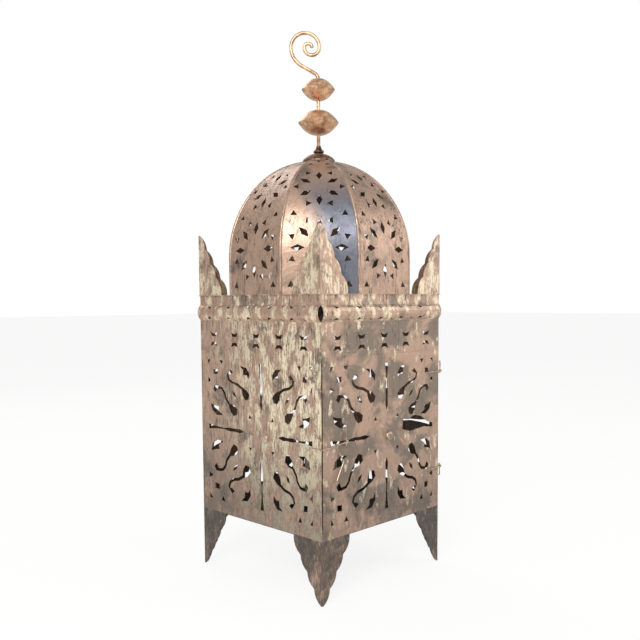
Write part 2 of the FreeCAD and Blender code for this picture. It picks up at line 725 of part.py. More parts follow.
class DomeCurve:
    """The gores' profile: an upright foot, then two tangent arcs that close on the axis."""

    def __init__(self, inset=0):
        self.apothem = dome_apothem()
        self.wall = size("dome_wall")
        rise = size("dome_height") - self.wall
        self.angle = math.radians(SHOULDER_ANGLE)
        share = math.cos(self.angle)
        self.lower = (share * (rise + self.apothem) - self.apothem) / (2 * share - 1)
        self.upper = rise + self.apothem - self.lower
        self.inset = inset
        self.lower_x = self.apothem - self.lower
        self.upper_z = self.wall + (self.lower - self.upper) * math.sin(self.angle)

    def on_lower(self, angle):
        reach = self.lower - self.inset
        return self.lower_x + reach * math.cos(angle), self.wall + reach * math.sin(angle)

    def on_upper(self, angle):
        reach = self.upper - self.inset
        return reach * math.cos(angle), self.upper_z + reach * math.sin(angle)

    def angle_at(self, radius):
        """The upper arc's angle where the outer face is this far from the axis."""
        return math.acos(radius / self.upper)

    def point(self, length):
        """Radius, height and slope of the outer face at a length of sheet above the deck."""
        if length < self.wall:
            return self.apothem, length, 0.0
        turned = (length - self.wall) / self.lower
        if turned < self.angle:
            return (*self.on_lower(turned), turned)
        turned = self.angle + (length - self.wall - self.angle * self.lower) / self.upper
        return (*self.on_upper(turned), turned)

    def edge(self):
        """The profile's corners, from the deck to the neck of the dome."""
        top = self.angle_at(size("dome_neck_radius"))
        corners = [(self.apothem - self.inset, 0)]
        corners += [self.on_lower(self.angle * k / LOWER_FLATS) for k in range(LOWER_FLATS + 1)]
        first = self.angle
        corners += [self.on_upper(first + (top - first) * k / UPPER_FLATS) for k in range(1, UPPER_FLATS + 1)]
        return corners


def gore_band(inner, outer, stretch=1.0):
    """The space between two offsets of the profile, as a face in the plane x = 0 facing -Y."""
    ring = DomeCurve(outer).edge() + DomeCurve(inner).edge()[::-1]
    return face_of([Vector(0, -r * stretch, z) for r, z in ring])


def diamond(length, width):
    return [(0, length / 2), (width / 2, 0), (0, -length / 2), (-width / 2, 0)]


def triangle(reach):
    return [(reach * math.sin(math.radians(a)), reach * math.cos(math.radians(a))) for a in (0, 120, 240)]


def spun(points, degrees):
    angle = math.radians(degrees)
    return [(x * math.cos(angle) - z * math.sin(angle), x * math.sin(angle) + z * math.cos(angle))
            for x, z in points]


def star(count, petal_ring, petal, nick_ring, nick, squash=1.0):
    """A star of petals with small triangles between their points."""
    outlines = []
    step = 360 / count
    for k in range(count):
        around = spun([(0, petal_ring)], k * step)[0]
        outlines.append([(x + around[0] * squash, z + around[1]) for x, z in spun(petal, k * step)])
        around = spun([(0, nick_ring)], (k + 0.5) * step)[0]
        outlines.append([(x + around[0] * squash, z + around[1]) for x, z in spun(nick, (k + 0.5) * step)])
    return outlines


def gore_outlines():
    """The cut-outs of a gore: (across, length of sheet above the deck) for each motif's own points."""
    outlines = []

    def place(shapes, across, length):
        for shape in shapes:
            outlines.append([(x + across, z + length) for x, z in shape])

    nick = triangle(size("nick_size") * 0.62)
    place(star(8, 42, diamond(28, 13), 57, nick), 0, 88)
    place(star(6, 33, diamond(25, 12), 47, nick, 0.93), 0, 218)
    for sign in (1, -1):
        place([nick], sign * 49, 155)
        place([triangle(size("nick_size") * 0.7)], sign * 55, 18)
        place([nick], sign * 17, 302)
    place([diamond(36, 8)], 0, 335)
    return outlines


def gore_cutter():
    """Each cut-out is a prism square to the sheet at the middle of its outline."""
    curve = DomeCurve()
    prisms = []
    for outline in gore_outlines():
        middle = sum(z for _, z in outline) / len(outline)
        radius, height, slope = curve.point(middle)
        depth = 4 * size("sheet_gauge") + size("strap_rise")
        cutter_body = face_of([Vector(x, 0, z - middle) for x, z in outline])
        cutter_body = cutter_body.extrude(Vector(0, 2 * depth, 0))
        cutter_body.translate(Vector(0, -depth, 0))
        cutter_body.rotate(Vector(0, 0, 0), Vector(1, 0, 0), -math.degrees(slope))
        cutter_body.translate(Vector(0, -radius, height))
        prisms.append(cutter_body)
    return feature("gore_cutter", Part.makeCompound(prisms))


def sector(degrees, reach, height):
    """An upright wedge about -Y with its edge on the axis."""
    half = math.radians(degrees / 2)
    corners = [Vector(0, 0, 0), Vector(-reach * math.sin(half), -reach * math.cos(half), 0),
               Vector(reach * math.sin(half), -reach * math.cos(half), 0)]
    return face_of(corners).extrude(Vector(0, 0, height))


def make_gores():
    """Eight single-curved gores mitred along their seams."""
    profile = feature("gore_section", gore_band(size("sheet_gauge"), 0))
    sweep = extrude("gore_sweep", profile, Vector(1, 0, 0), "2 * " + DOME_APOTHEM, True)
    wedge = feature("gore_wedge", sector(GORE_ANGLE, 2 * dome_apothem(), size("dome_height")))
    blank = doc.addObject("Part::Common", "gore_blank")
    blank.Base = sweep
    blank.Tool = wedge
    tool = gore_cutter()
    for number in range(GORES):
        gore = cut(f"gore_{number + 1}", blank, tool)
        turn(gore, number * GORE_ANGLE)
        bind(gore, z=DECK_TOP)
        node(gore, f"dome_gore_{number + 1}")


def make_straps():
    """A strap bent over each seam, from the deck to the cap, with its underside fitted to the ridge."""
    ridge = 1 / math.cos(math.radians(GORE_ANGLE / 2))
    width = size("strap_width")
    strap = gore_band(3, -size("strap_rise") / ridge, ridge).extrude(Vector(width, 0, 0))
    strap.translate(Vector(-width / 2, 0, 0))
    under_cap = Part.makeBox(width, 2 * dome_apothem(), size("dome_height"))
    under_cap.translate(Vector(-width / 2, -size("cap_radius") - 1, size("dome_wall")))
    strap = strap.cut(under_cap)
    filled = gore_band(dome_apothem() / 3, 0).extrude(Vector(2 * dome_apothem(), 0, 0))
    filled.translate(Vector(-dome_apothem(), 0, 0))
    for side in (-0.5, 0.5):
        under = filled.copy()
        under.rotate(Vector(0, 0, 0), UP, side * GORE_ANGLE)
        strap = strap.cut(under)
    straps = []
    for number in range(GORES):
        copy = strap.copy()
        copy.rotate(Vector(0, 0, 0), UP, (number + 0.5) * GORE_ANGLE)
        straps.append(copy)
    group = feature("strap_shapes", Part.makeCompound(straps))
    bind(group, z=DECK_TOP)
    node(group, "dome_seam_straps")


def make_base_ring():
    """An eight-sided upstand on the deck, inside the foot of the gores."""
    outer = octagon("ring_outer", DOME_APOTHEM + " - Sizes.sheet_gauge", "Sizes.ring_height")
    inner = octagon("ring_inner", DOME_APOTHEM + " - 2 * Sizes.sheet_gauge", "Sizes.ring_height")
    ring = cut("ring", outer, inner)
    bind(ring, z=DECK_TOP)
    node(ring, "dome_base_ring")


# ---------------------------------------------------------------- the finial

def on_dome(name, shape, lift="0"):
    piece = feature(name + "_shape", shape)
    bind(piece, z=DOME_TOP + " + " + lift)
    return node(piece, name)


def make_cap():
    """A turned cap over the neck; its rim sits on the ridges of the dome."""
    radius = size("cap_radius")
    crown = size("cap_crown")
    curve = DomeCurve()
    ridge_angle = curve.angle_at(radius * math.cos(math.radians(GORE_ANGLE / 2)))
    seat = curve.on_upper(ridge_angle)[1] - size("dome_height") + size("seat_gap")
    rim = seat + size("cap_rim")
    bore = size("rod_radius") + size("rod_clearance")
    hollow = size("cap_rim")
    shoulder = (radius * 0.68, rim + (crown - rim) * 0.66)
    points = [(radius, seat), (radius, rim), shoulder, (bore * 1.5, crown), (bore, crown), (bore, hollow)]
    on_dome("dome_cap", turned(points, TURNED_SIDES))


def make_collar():
    """A bead with a cone above it, between the cap and the rod."""
    radius = size("collar_radius")
    bore = size("rod_radius") + size("rod_clearance")
    foot = size("cap_crown")
    height = size("collar_height")
    points = [(bore, foot), (radius * 0.75, foot), (radius, foot + height * 0.25), (bore + 1, foot + height),
              (bore, foot + height)]
    on_dome("finial_collar", turned(points, TURNED_SIDES))


def bowl(radius, height):
    """Half of a ball: a bowl, rim down on z = 0, closed in on the rod."""
    gauge = size("bowl_gauge")
    bore = size("rod_radius") + size("rod_clearance")
    neck = size("bowl_neck_radius")
    waist = (radius * 0.78, height * 0.62)
    points = [(radius, 0), waist, (neck, height), (bore, height), (bore, height - 2 * gauge), (radius - gauge, 0)]
    return turned(points, TURNED_SIDES)


def make_balls():
    for ball in ("lower", "upper"):
        shape = bowl(size(ball + "_ball_radius"), size(ball + "_ball_height") / 2)
        rim = f"Sizes.{ball}_ball_level"
        on_dome(f"finial_{ball}_ball_top", shape, rim)
        on_dome(f"finial_{ball}_ball_bottom", shape.mirror(Vector(0, 0, 0), UP), rim)


def scroll_path(foot, top):
    """The middle of the finial's wire: up from foot through the balls to top, then into the scroll.

    It leaves the rod in a bend, leans over and winds inwards in half turns of falling radius.
    """
    lean = size("scroll_heading")
    radii = [size(name) for name in ("scroll_radius", "scroll_inner_radius", "scroll_eye_radius")]
    entry = size("scroll_entry_radius")
    neck = size("scroll_neck_radius")
    level = size("scroll_level")
    slant = math.radians(lean)
    path = [Vector(0, 0, foot)]

    def arc(centre_x, centre_z, radius, begin, end):
        """Points round an arc, without its first."""
        steps = max(1, round(abs(end - begin) / SCROLL_STEP))
        for k in range(1, steps + 1):
            angle = math.radians(begin + (end - begin) * k / steps)
            path.append(Vector(centre_x + radius * math.cos(angle), 0, centre_z + radius * math.sin(angle)))

    path.append(Vector(0, 0, top))
    arc(-neck, top, neck, 0, lean)
    bend = path[-1]
    run = (level - entry * math.sin(slant) - bend.z) / math.cos(slant)
    left = bend.x - run * math.sin(slant) - entry * (1 - math.cos(slant))
    path.append(Vector(left + entry * (1 - math.cos(slant)), 0, level - entry * math.sin(slant)))
    arc(left + entry, level, entry, 180 + lean, 180)
    direction = 1
    for radius in radii:
        start = 180 if direction > 0 else 0
        arc(left + direction * radius, level, radius, start, start - 180)
        left += direction * 2 * radius
        direction = -direction
    return path


def make_stem():
    """The rod through the finial, drawn out at its top into a scroll, all one wire.

    The scroll lies in the upright plane through the front right and back left corners.
    """
    path = scroll_path(size("cap_rim") * 2, size("upper_ball_level") + size("upper_ball_height") / 2)
    stem = swept_wire(path, size("rod_radius"), STEM_SIDES)
    stem.rotate(Vector(0, 0, 0), UP, -45)
    on_dome("finial_stem", stem)


# ---------------------------------------------------------------- the door and its hinges

def door_face():
    """How far the outer face of the door stands in front of the axis of the box."""
    return size("box_width") / 2 + size("door_gap") + size("sheet_gauge")


def hinge_axis():
    return size("box_width") / 2 + size("hinge_reach"), -size("box_width") / 2 + size("hinge_setback")


def make_door():
    blank = sheet_box("door_blank", DOOR_WIDTH, "Sizes.sheet_gauge", "Sizes.door_height",
                      x="-" + DOOR_WIDTH + " / 2", y="-Sizes.box_width / 2 - Sizes.door_gap - Sizes.sheet_gauge")
    level = size("pattern_level") - size("door_sill")
    tool = cutter("door_cutter", wall_pattern(size("door_pattern_shift"), torn=True), level, size("box_width"))
    door = cut("door", blank, tool)
    bind(door, z=DOOR_FOOT)
    node(door, "door_panel")


def make_hinges():
    """A staple on the side wall and a wire on the door whose eye turns on the staple's bar."""
    x, y = hinge_axis()
    wire = size("hinge_wire_radius")
    height = size("staple_height")
    wall = size("box_width") / 2
    leg_y = -door_face() - wire - size("seat_gap")
    leg_end = door_width() / 2 - size("hinge_leg_length")
    ring = 2 * wire + size("wire_clearance")
    shoulder = "3 * Sizes.hinge_wire_radius + Sizes.wire_clearance"
    eye_levels = {"lower": f"Sizes.staple_height - ({shoulder})", "upper": shoulder}
    for name, eye_level in eye_levels.items():
        level = f"Sizes.foot_height + Sizes.{name}_hinge_level"
        points = [Vector(wall, y, 0), Vector(x, y, 0), Vector(x, y, height), Vector(wall, y, height)]
        staple = feature(name + "_staple_shape", swept_wire(points, wire))
        bind(staple, z=level)
        node(staple, "hinge_staple_" + name)
        turn_x = x - 3 * ring
        leg = swept_wire([Vector(leg_end, leg_y, 0), Vector(turn_x, leg_y, 0), Vector(x - ring * 0.7, y - ring * 0.7, 0)],
                         wire)
        piece = feature(name + "_leg_shape", fused(leg, eye(Vector(x, y, 0), UP, ring, wire)))
        bind(piece, z=f"{level} + {eye_level}")
        node(piece, "door_hinge_wire_" + name)


# ---------------------------------------------------------------- the catch and the latch

def catch_point():
    """Where the catch wire crosses the arm, seen from above."""
    return -door_width() / 2 + size("catch_inset"), -door_face() - size("catch_reach")


def make_catch():
    """An upright staple on the door that carries the arm of the latch."""
    x, y = catch_point()
    wire = size("latch_wire_radius")
    height = size("catch_height")
    face = -door_face()
    points = [Vector(x, face, 0), Vector(x, y, 0), Vector(x, y, height), Vector(x, face, height)]
    piece = feature("catch_shape", swept_wire(points, wire))
    bind(piece, z=DOOR_FOOT + " + Sizes.catch_level")
    node(piece, "door_catch_staple")


def make_arm():
    """The latch arm: an eye on the catch wire, a run to the corner and a tail along the side wall."""
    x, y = catch_point()
    wire = size("latch_wire_radius")
    ring = 2 * wire + 2 * size("wire_clearance")
    tail_x = -size("box_width") / 2 - wire - size("wire_clearance")
    corner = tail_x - x
    points = [Vector(-ring, 0, 0), Vector(corner, 0, 0),
              Vector(corner, -size("box_width") / 2 + size("arm_tail") - y, 0)]
    arm = fused(swept_wire(points, wire), eye(Vector(0, 0, 0), UP, ring, wire))
    arm.rotate(Vector(0, 0, 0), Vector(0, 1, 0), -size("arm_slope"))
    arm.translate(Vector(x, y, 0))
    piece = feature("arm_shape", arm)
    bind(piece, z=DOOR_FOOT + " + Sizes.catch_level + Sizes.arm_level")
    node(piece, "latch_arm")


def make_keeper():
    """A bent wire that hangs from the arm by an eye, with its elbow towards the catch."""
    x, y = catch_point()
    slope = math.radians(size("arm_slope"))
    along = Vector(-math.cos(slope), 0, -math.sin(slope))
    wire = size("keeper_wire_radius")
    ring = size("latch_wire_radius") + size("wire_clearance") + wire
    centre = along * size("keeper_inset")
    foot = centre.z - size("keeper_drop")
    points = [Vector(centre.x, 0, centre.z - ring), Vector(centre.x + size("keeper_elbow"), 0, (centre.z + foot) / 2),
              Vector(centre.x + 1, 0, foot)]
    loop = eye(Vector(centre.x, 0, foot - ring), Vector(0, 1, 0), ring, wire)
    keeper = fused(swept_wire(points, wire), eye(centre, along, ring, wire), loop)
    keeper.translate(Vector(x, y, 0))
    piece = feature("keeper_shape", keeper)
    bind(piece, z=DOOR_FOOT + " + Sizes.catch_level + Sizes.arm_level")
    node(piece, "keeper_wire")


def make_prong():
    """The wire prong on the left wall: it falls to the corner above the arm and ends at the edge."""
    wire = size("latch_wire_radius")
    x = -size("box_width") / 2 - wire - size("seat_gap")
    slope = math.radians(size("prong_slope"))
    tip = Vector(x, -size("box_width") / 2 - wire, 0)
    run = size("prong_length")
    head = tip + Vector(0, run * math.cos(slope), run * math.sin(slope))
    piece = feature("prong_shape", swept_wire([head, tip, tip + Vector(wire * 2, 0, 0)], wire))
    bind(piece, z=DOOR_FOOT + " + Sizes.catch_level + Sizes.arm_level + 5 * Sizes.latch_wire_radius")
    node(piece, "latch_prong")


# ---------------------------------------------------------------- the candle

def tapered_spike(name, foot_width, height, level):
    """A four-sided spike that draws in to a blunt point, with its foot at the level."""
    reach = foot_width / math.sqrt(2)
    spike = turned([(reach, 0), (reach * 0.15, height)], 4, bored=False)
    spike.rotate(Vector(0, 0, 0), UP, 45)
    piece = feature(name, Part.makeCompound([spike]))
    bind(piece, z=level)
    return piece


def make_pan():
    """A square pan with upright rims, on the floor plate."""
    outer = sheet_box("pan_outer", "Sizes.pan_width", "Sizes.pan_width", "Sizes.pan_rim",
                      x="-Sizes.pan_width / 2", y="-Sizes.pan_width / 2")
    inner_width = "(Sizes.pan_width - 2 * Sizes.sheet_gauge)"
    inner = sheet_box("pan_inner", inner_width, inner_width, "Sizes.pan_rim",
                      x=f"-{inner_width} / 2", y=f"-{inner_width} / 2", z="Sizes.sheet_gauge")
    hole_width = "(Sizes.spike_width + 2 * Sizes.spike_clearance)"
    hole = sheet_box("pan_hole", hole_width, hole_width, "Sizes.pan_rim",
                     x=f"-{hole_width} / 2", y=f"-{hole_width} / 2")
    pan = cut("pan", cut("pan_tray", outer, inner), hole)
    bind(pan, z=FLOOR_TOP)
    node(pan, "candle_pan")


def make_pricket():
    """A square shank through the floor plate and the pan, drawn out to a spike."""
    shank = sheet_box("shank", "Sizes.spike_width", "Sizes.spike_width", "2 * Sizes.sheet_gauge",
                      x="-Sizes.spike_width / 2", y="-Sizes.spike_width / 2")
    spike = tapered_spike("spike", size("spike_width"), size("spike_height"), "2 * Sizes.sheet_gauge")
    pricket = doc.addObject("Part::Fuse", "pricket")
    pricket.Base = shank
    pricket.Tool = spike
    pricket.Refine = True
    bind(pricket, z=FLOOR_UNDER)
    node(pricket, "candle_pricket")


def make_candle():
    """A pillar candle that stands in the pan with the pricket in its foot."""
    air = size("candle_clearance")
    wax = doc.addObject("Part::Cylinder", "wax")
    bind(wax, Radius="Sizes.candle_radius", Height="Sizes.candle_height")
    hole = tapered_spike("candle_hole", size("spike_width") + 2 * air, size("spike_height") + 2 * air, "0")
    candle = cut("candle_body", wax, hole)
    bind(candle, z=FLOOR_TOP + " + Sizes.sheet_gauge")
    node(candle, "candle")
    wick = doc.addObject("Part::Prism", "wick_shape")
    wick.Polygon = WIRE_SIDES
    bind(wick, Circumradius="Sizes.wick_radius", Height="Sizes.wick_height",
         z=FLOOR_TOP + " + Sizes.sheet_gauge + Sizes.candle_height")
    node(wick, "candle_wick")


def check_and_write():
    """Every object has to be sound before any file is written."""
    doc.recompute()
    bad = [piece.Name for piece in doc.Objects if "Invalid" in piece.State or "Error" in piece.State]
    for piece in nodes:
        shape = piece.Shape
        if shape.isNull() or not shape.isValid() or not shape.Solids:
            bad.append(piece.Label)
    if bad:
        raise RuntimeError("unsound: " + ", ".join(bad))
    os.makedirs("parts", exist_ok=True)
    for piece in nodes:
        piece.Shape.exportStep(f"parts/{piece.Label}.step")


make_floor_and_deck()
make_posts()
make_walls()
make_front()
make_cornice()
make_band()
make_bosses()
make_feet_and_horns()
make_gores()
make_straps()
make_base_ring()
make_cap()
make_collar()
make_balls()
make_stem()
make_door()
make_hinges()
make_catch()
make_arm()
make_keeper()
make_prong()
make_pan()
make_pricket()
make_candle()
check_and_write()
print(f"{len(nodes)} sub-parts")
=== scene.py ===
"""Looks for the standing candle lantern: worn copper sheet, a turned finial, wire fittings and a
candle, on a plain pale floor.

Lengths in the panel are millimetres as the sheet worker would give them; meshes are in metres.
"""

import math

import bmesh
import bpy
from bpy.props import FloatProperty, FloatVectorProperty, IntProperty, PointerProperty
from mathutils import Matrix, Vector
from mathutils.geometry import delaunay_2d_cdt


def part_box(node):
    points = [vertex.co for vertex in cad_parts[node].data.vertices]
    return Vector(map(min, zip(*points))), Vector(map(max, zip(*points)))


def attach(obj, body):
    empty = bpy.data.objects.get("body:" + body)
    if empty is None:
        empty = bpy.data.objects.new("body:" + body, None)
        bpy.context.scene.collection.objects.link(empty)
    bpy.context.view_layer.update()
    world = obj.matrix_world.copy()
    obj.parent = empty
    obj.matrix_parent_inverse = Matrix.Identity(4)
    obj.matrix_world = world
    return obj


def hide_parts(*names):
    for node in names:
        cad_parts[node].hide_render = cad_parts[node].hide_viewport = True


bl_info = {
    "name": "Pierced Candle Lantern",
    "version": (1, 0, 0),
    "blender": (4, 5, 0),
    "location": "View3D > Sidebar > Lantern",
    "description": "Smooth pieces and worn finishes for a pierced sheet-metal floor lantern",
    "category": "Object",
}

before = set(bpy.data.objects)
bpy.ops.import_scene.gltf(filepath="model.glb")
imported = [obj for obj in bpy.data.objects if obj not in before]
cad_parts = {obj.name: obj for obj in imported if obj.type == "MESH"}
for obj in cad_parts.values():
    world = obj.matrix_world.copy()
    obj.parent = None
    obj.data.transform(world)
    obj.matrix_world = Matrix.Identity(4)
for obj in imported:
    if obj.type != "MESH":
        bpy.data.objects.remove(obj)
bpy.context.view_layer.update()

MM = 0.001
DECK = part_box("top_deck")[1].z
GORES = 8
HALF_GORE = math.pi / GORES
PAINTED_REFLECTION_GORE = GORES - 1             # counted from the door: the gore that faces the camera, with a painted blue grey reflection on it

# Levels of a gore's cut-outs, in millimetres of sheet above the deck.
FOOT_NICK_LEVEL = 18
LOWER_STAR_LEVEL = 88
SIDE_NICK_LEVEL = 155
UPPER_STAR_LEVEL = 218
HIGH_NICK_LEVEL = 302
CROWN_SLIT_LEVEL = 335

STRAP_END = 35                      # radius at which the straps run under the cap, mm
BORE_SLACK = 0.2                    # turned work clears the rod by this much, mm
BOWL_FULLNESS = 2.4                 # how full the balls are between rim and neck
SCROLL_ROD_TOP = 170.2              # top of the upper ball above the dome, mm
SCROLL_TURN = math.radians(-45)     # the scroll lies square to the front left corner
BOSS_GAUGE = 1.2                    # thickness of the sheet of a boss, mm
WICK_RADIUS = 0.85                  # mm

# The camera, fitted to the edges of the box: degrees, metres and millimetres on the sensor.
CAMERA_TURN, CAMERA_TILT, CAMERA_ROLL = -45.268, 4.35, -0.372
CAMERA_AIM, CAMERA_DISTANCE = (0, 0, 0.4421), 1.6553
CAMERA_SENSOR, CAMERA_FOCUS, CAMERA_SHIFT = 36.0, 43.36, 0.0625

LIGHT_AIM = (0, 0, 0.5)
LIGHTS = (                          # name, place in metres, watts, width in metres
    ("key", (-2.6, -1.7, 2.3), 92, 1.5),
    ("fill", (2.4, -2.2, 1.6), 24, 1.8),
    ("back", (0.6, 2.6, 2.4), 22, 1.6),
)
FLOOR_REACH = 30.0                  # half the side of the floor, metres
FLOOR_GLOW = 0.86                   # share of the floor that the camera sees as plain white
WORLD_LIGHT, WORLD_SEEN = 0.62, 1.0  # the world's strength on the lantern and to the camera


def srgb(code):
    """A hex colour as the linear numbers that sockets take."""
    parts = [int(code[i:i + 2], 16) / 255 for i in (1, 3, 5)]
    return tuple(p / 12.92 if p <= 0.04045 else ((p + 0.055) / 1.055) ** 2.4 for p in parts) + (1.0,)


# ---------------------------------------------------------------- settings

def length(name, default, description):
    return FloatProperty(name=name, description=description, default=default, min=0.0)


def colour(name, code, description):
    return FloatVectorProperty(name=name, description=description, subtype="COLOR", size=4,
                               min=0.0, max=1.0, default=srgb(code))


class LanternDome(bpy.types.PropertyGroup):
    """Sizes of the dome, in millimetres."""
    apothem: length("Apothem", 182.0, "Axis to the outer face of a gore at its foot, mm")
    wall: length("Wall", 76.0, "Upright foot of a gore, mm")
    height: length("Height", 279.0, "Deck to the top of the curve on the axis, mm")
    neck: length("Neck", 22.0, "Radius where the gores stop under the cap, mm")
    shoulder: FloatProperty(name="Shoulder", description="Where the lower arc gives way to the upper",
                            default=math.radians(45), subtype="ANGLE")
    gauge: length("Gauge", 1.2, "Thickness of the sheet, mm")
    nick: length("Nick", 12.0, "Side of the small cut-out triangles, mm")
    strap: length("Strap", 7.0, "Width of the strap over a seam, mm")
    rise: length("Strap rise", 1.3, "Height of a strap over the ridge, mm")


class LanternFinial(bpy.types.PropertyGroup):
    """Sizes of the finial, in millimetres."""
    wire: length("Wire", 3.7, "Radius of the rod and scroll, mm")
    gauge: length("Gauge", 1.2, "Thickness of the spun bowls, mm")
    bowl_neck: length("Bowl neck", 7.0, "Radius where a bowl closes on the rod, mm")
    scroll: length("Scroll", 29.6, "First turn of the scroll, mm")
    scroll_inner: length("Inner turn", 15.7, "Second turn of the scroll, mm")
    scroll_eye: length("Eye", 8.0, "Last turn of the scroll, mm")
    entry: length("Entry", 42.0, "Sweep that runs into the first turn, mm")
    bend: length("Bend", 13.0, "Bend where the scroll leaves the rod, mm")
    level: length("Level", 234.5, "Middle of the scroll above the top of the dome's curve, mm")
    lean: FloatProperty(name="Lean", description="How far the neck of the scroll leans from upright",
                        default=math.radians(60), subtype="ANGLE")


class LanternColours(bpy.types.PropertyGroup):
    """Colours of the finishes."""
    copper: colour("Copper", "#b89a86", "Bare warm sheet")
    gilt: colour("Gilt", "#efdfc2", "Bright rubbed highlights")
    umber: colour("Umber", "#857669", "Dull oxide")
    slate: colour("Slate", "#2f3233", "Smoke and grime")
    # painted reflection: blue grey that stands for the reflection on the gore facing the camera
    painted_reflection: colour("Painted reflection", "#5b6472", "Blue grey heat tint")
    wax: colour("Wax", "#e9dcc0", "Pillar candle")
    floor: colour("Floor", "#f2f1ee", "Stage")


class LanternSettings(bpy.types.PropertyGroup):
    """Everything that a user would change."""
    dome: PointerProperty(type=LanternDome)
    finial: PointerProperty(type=LanternFinial)
    colours: PointerProperty(type=LanternColours)
    turned_sides: IntProperty(name="Turned sides", description="Steps round turned work", default=96, min=12)


def settings():
    return bpy.context.scene.lantern


# ---------------------------------------------------------------- node helpers

class Shader:
    """A material's tree, with the few nodes that the finishes share."""

    def __init__(self, name):
        self.material = bpy.data.materials.new(name)
        self.material.use_nodes = True
        self.tree = self.material.node_tree
        self.surface = self.tree.nodes["Principled BSDF"]
        self.coords = self.tree.nodes.new("ShaderNodeTexCoord")

    def link(self, start, end):
        self.tree.links.new(start, end)

    def mapped(self, scale, place=(0, 0, 0)):
        node = self.tree.nodes.new("ShaderNodeMapping")
        node.inputs["Scale"].default_value = scale
        node.inputs["Location"].default_value = place
        self.link(self.coords.outputs["Object"], node.inputs["Vector"])
        return node.outputs["Vector"]

    def noise(self, scale, detail=6.0, rough=0.6, place=(0, 0, 0), stretch=(1, 1, 1), warp=0.0):
        node = self.tree.nodes.new("ShaderNodeTexNoise")
        node.inputs["Scale"].default_value = scale
        node.inputs["Detail"].default_value = detail
        node.inputs["Roughness"].default_value = rough
        node.inputs["Distortion"].default_value = warp
        self.link(self.mapped(stretch, place), node.inputs["Vector"])
        return node.outputs["Fac"]

    def span(self, value, low, high, start=0.0, end=1.0):
        """A value's stretch from low to high as start to end, smoothed."""
        node = self.tree.nodes.new("ShaderNodeMapRange")
        node.interpolation_type = "SMOOTHSTEP"
        node.inputs["From Min"].default_value = low
        node.inputs["From Max"].default_value = high
        node.inputs["To Min"].default_value = start
        node.inputs["To Max"].default_value = end
        self.link(value, node.inputs["Value"])
        return node.outputs["Result"]

    def maths(self, kind, first, second):
        node = self.tree.nodes.new("ShaderNodeMath")
        node.operation = kind
        for socket, value in zip(node.inputs, (first, second)):
            if isinstance(value, (int, float)):
                socket.default_value = value
            else:
                self.link(value, socket)
        return node.outputs["Value"]

    def mix(self, share, first, second, kind="MIX"):
        node = self.tree.nodes.new("ShaderNodeMix")
        node.data_type = "RGBA"
        node.blend_type = kind
        if isinstance(share, (int, float)):
            node.inputs["Factor"].default_value = share
        else:
            self.link(share, node.inputs["Factor"])
        for socket, value in ((node.inputs[6], first), (node.inputs[7], second)):
            if isinstance(value, bpy.types.NodeSocket):
                self.link(value, socket)
            else:
                socket.default_value = value
        return node.outputs[2]

    def axis(self, name):
        node = self.tree.nodes.new("ShaderNodeSeparateXYZ")
        self.link(self.coords.outputs["Object"], node.inputs["Vector"])
        return node.outputs[name]

    def bump(self, *layers):
        """Bumps in a chain, each (height, depth in metres, strength)."""
        previous = None
        for height, depth, strength in layers:
            node = self.tree.nodes.new("ShaderNodeBump")
            node.inputs["Strength"].default_value = strength
            node.inputs["Distance"].default_value = depth
            self.link(height, node.inputs["Height"])
            if previous:
                self.link(previous, node.inputs["Normal"])
            previous = node.outputs["Normal"]
        self.link(previous, self.surface.inputs["Normal"])

    def set(self, **values):
        for name, value in values.items():
            socket = self.surface.inputs[name.replace("_", " ")]
            if isinstance(value, bpy.types.NodeSocket):
                self.link(value, socket)
            else:
                socket.default_value = value


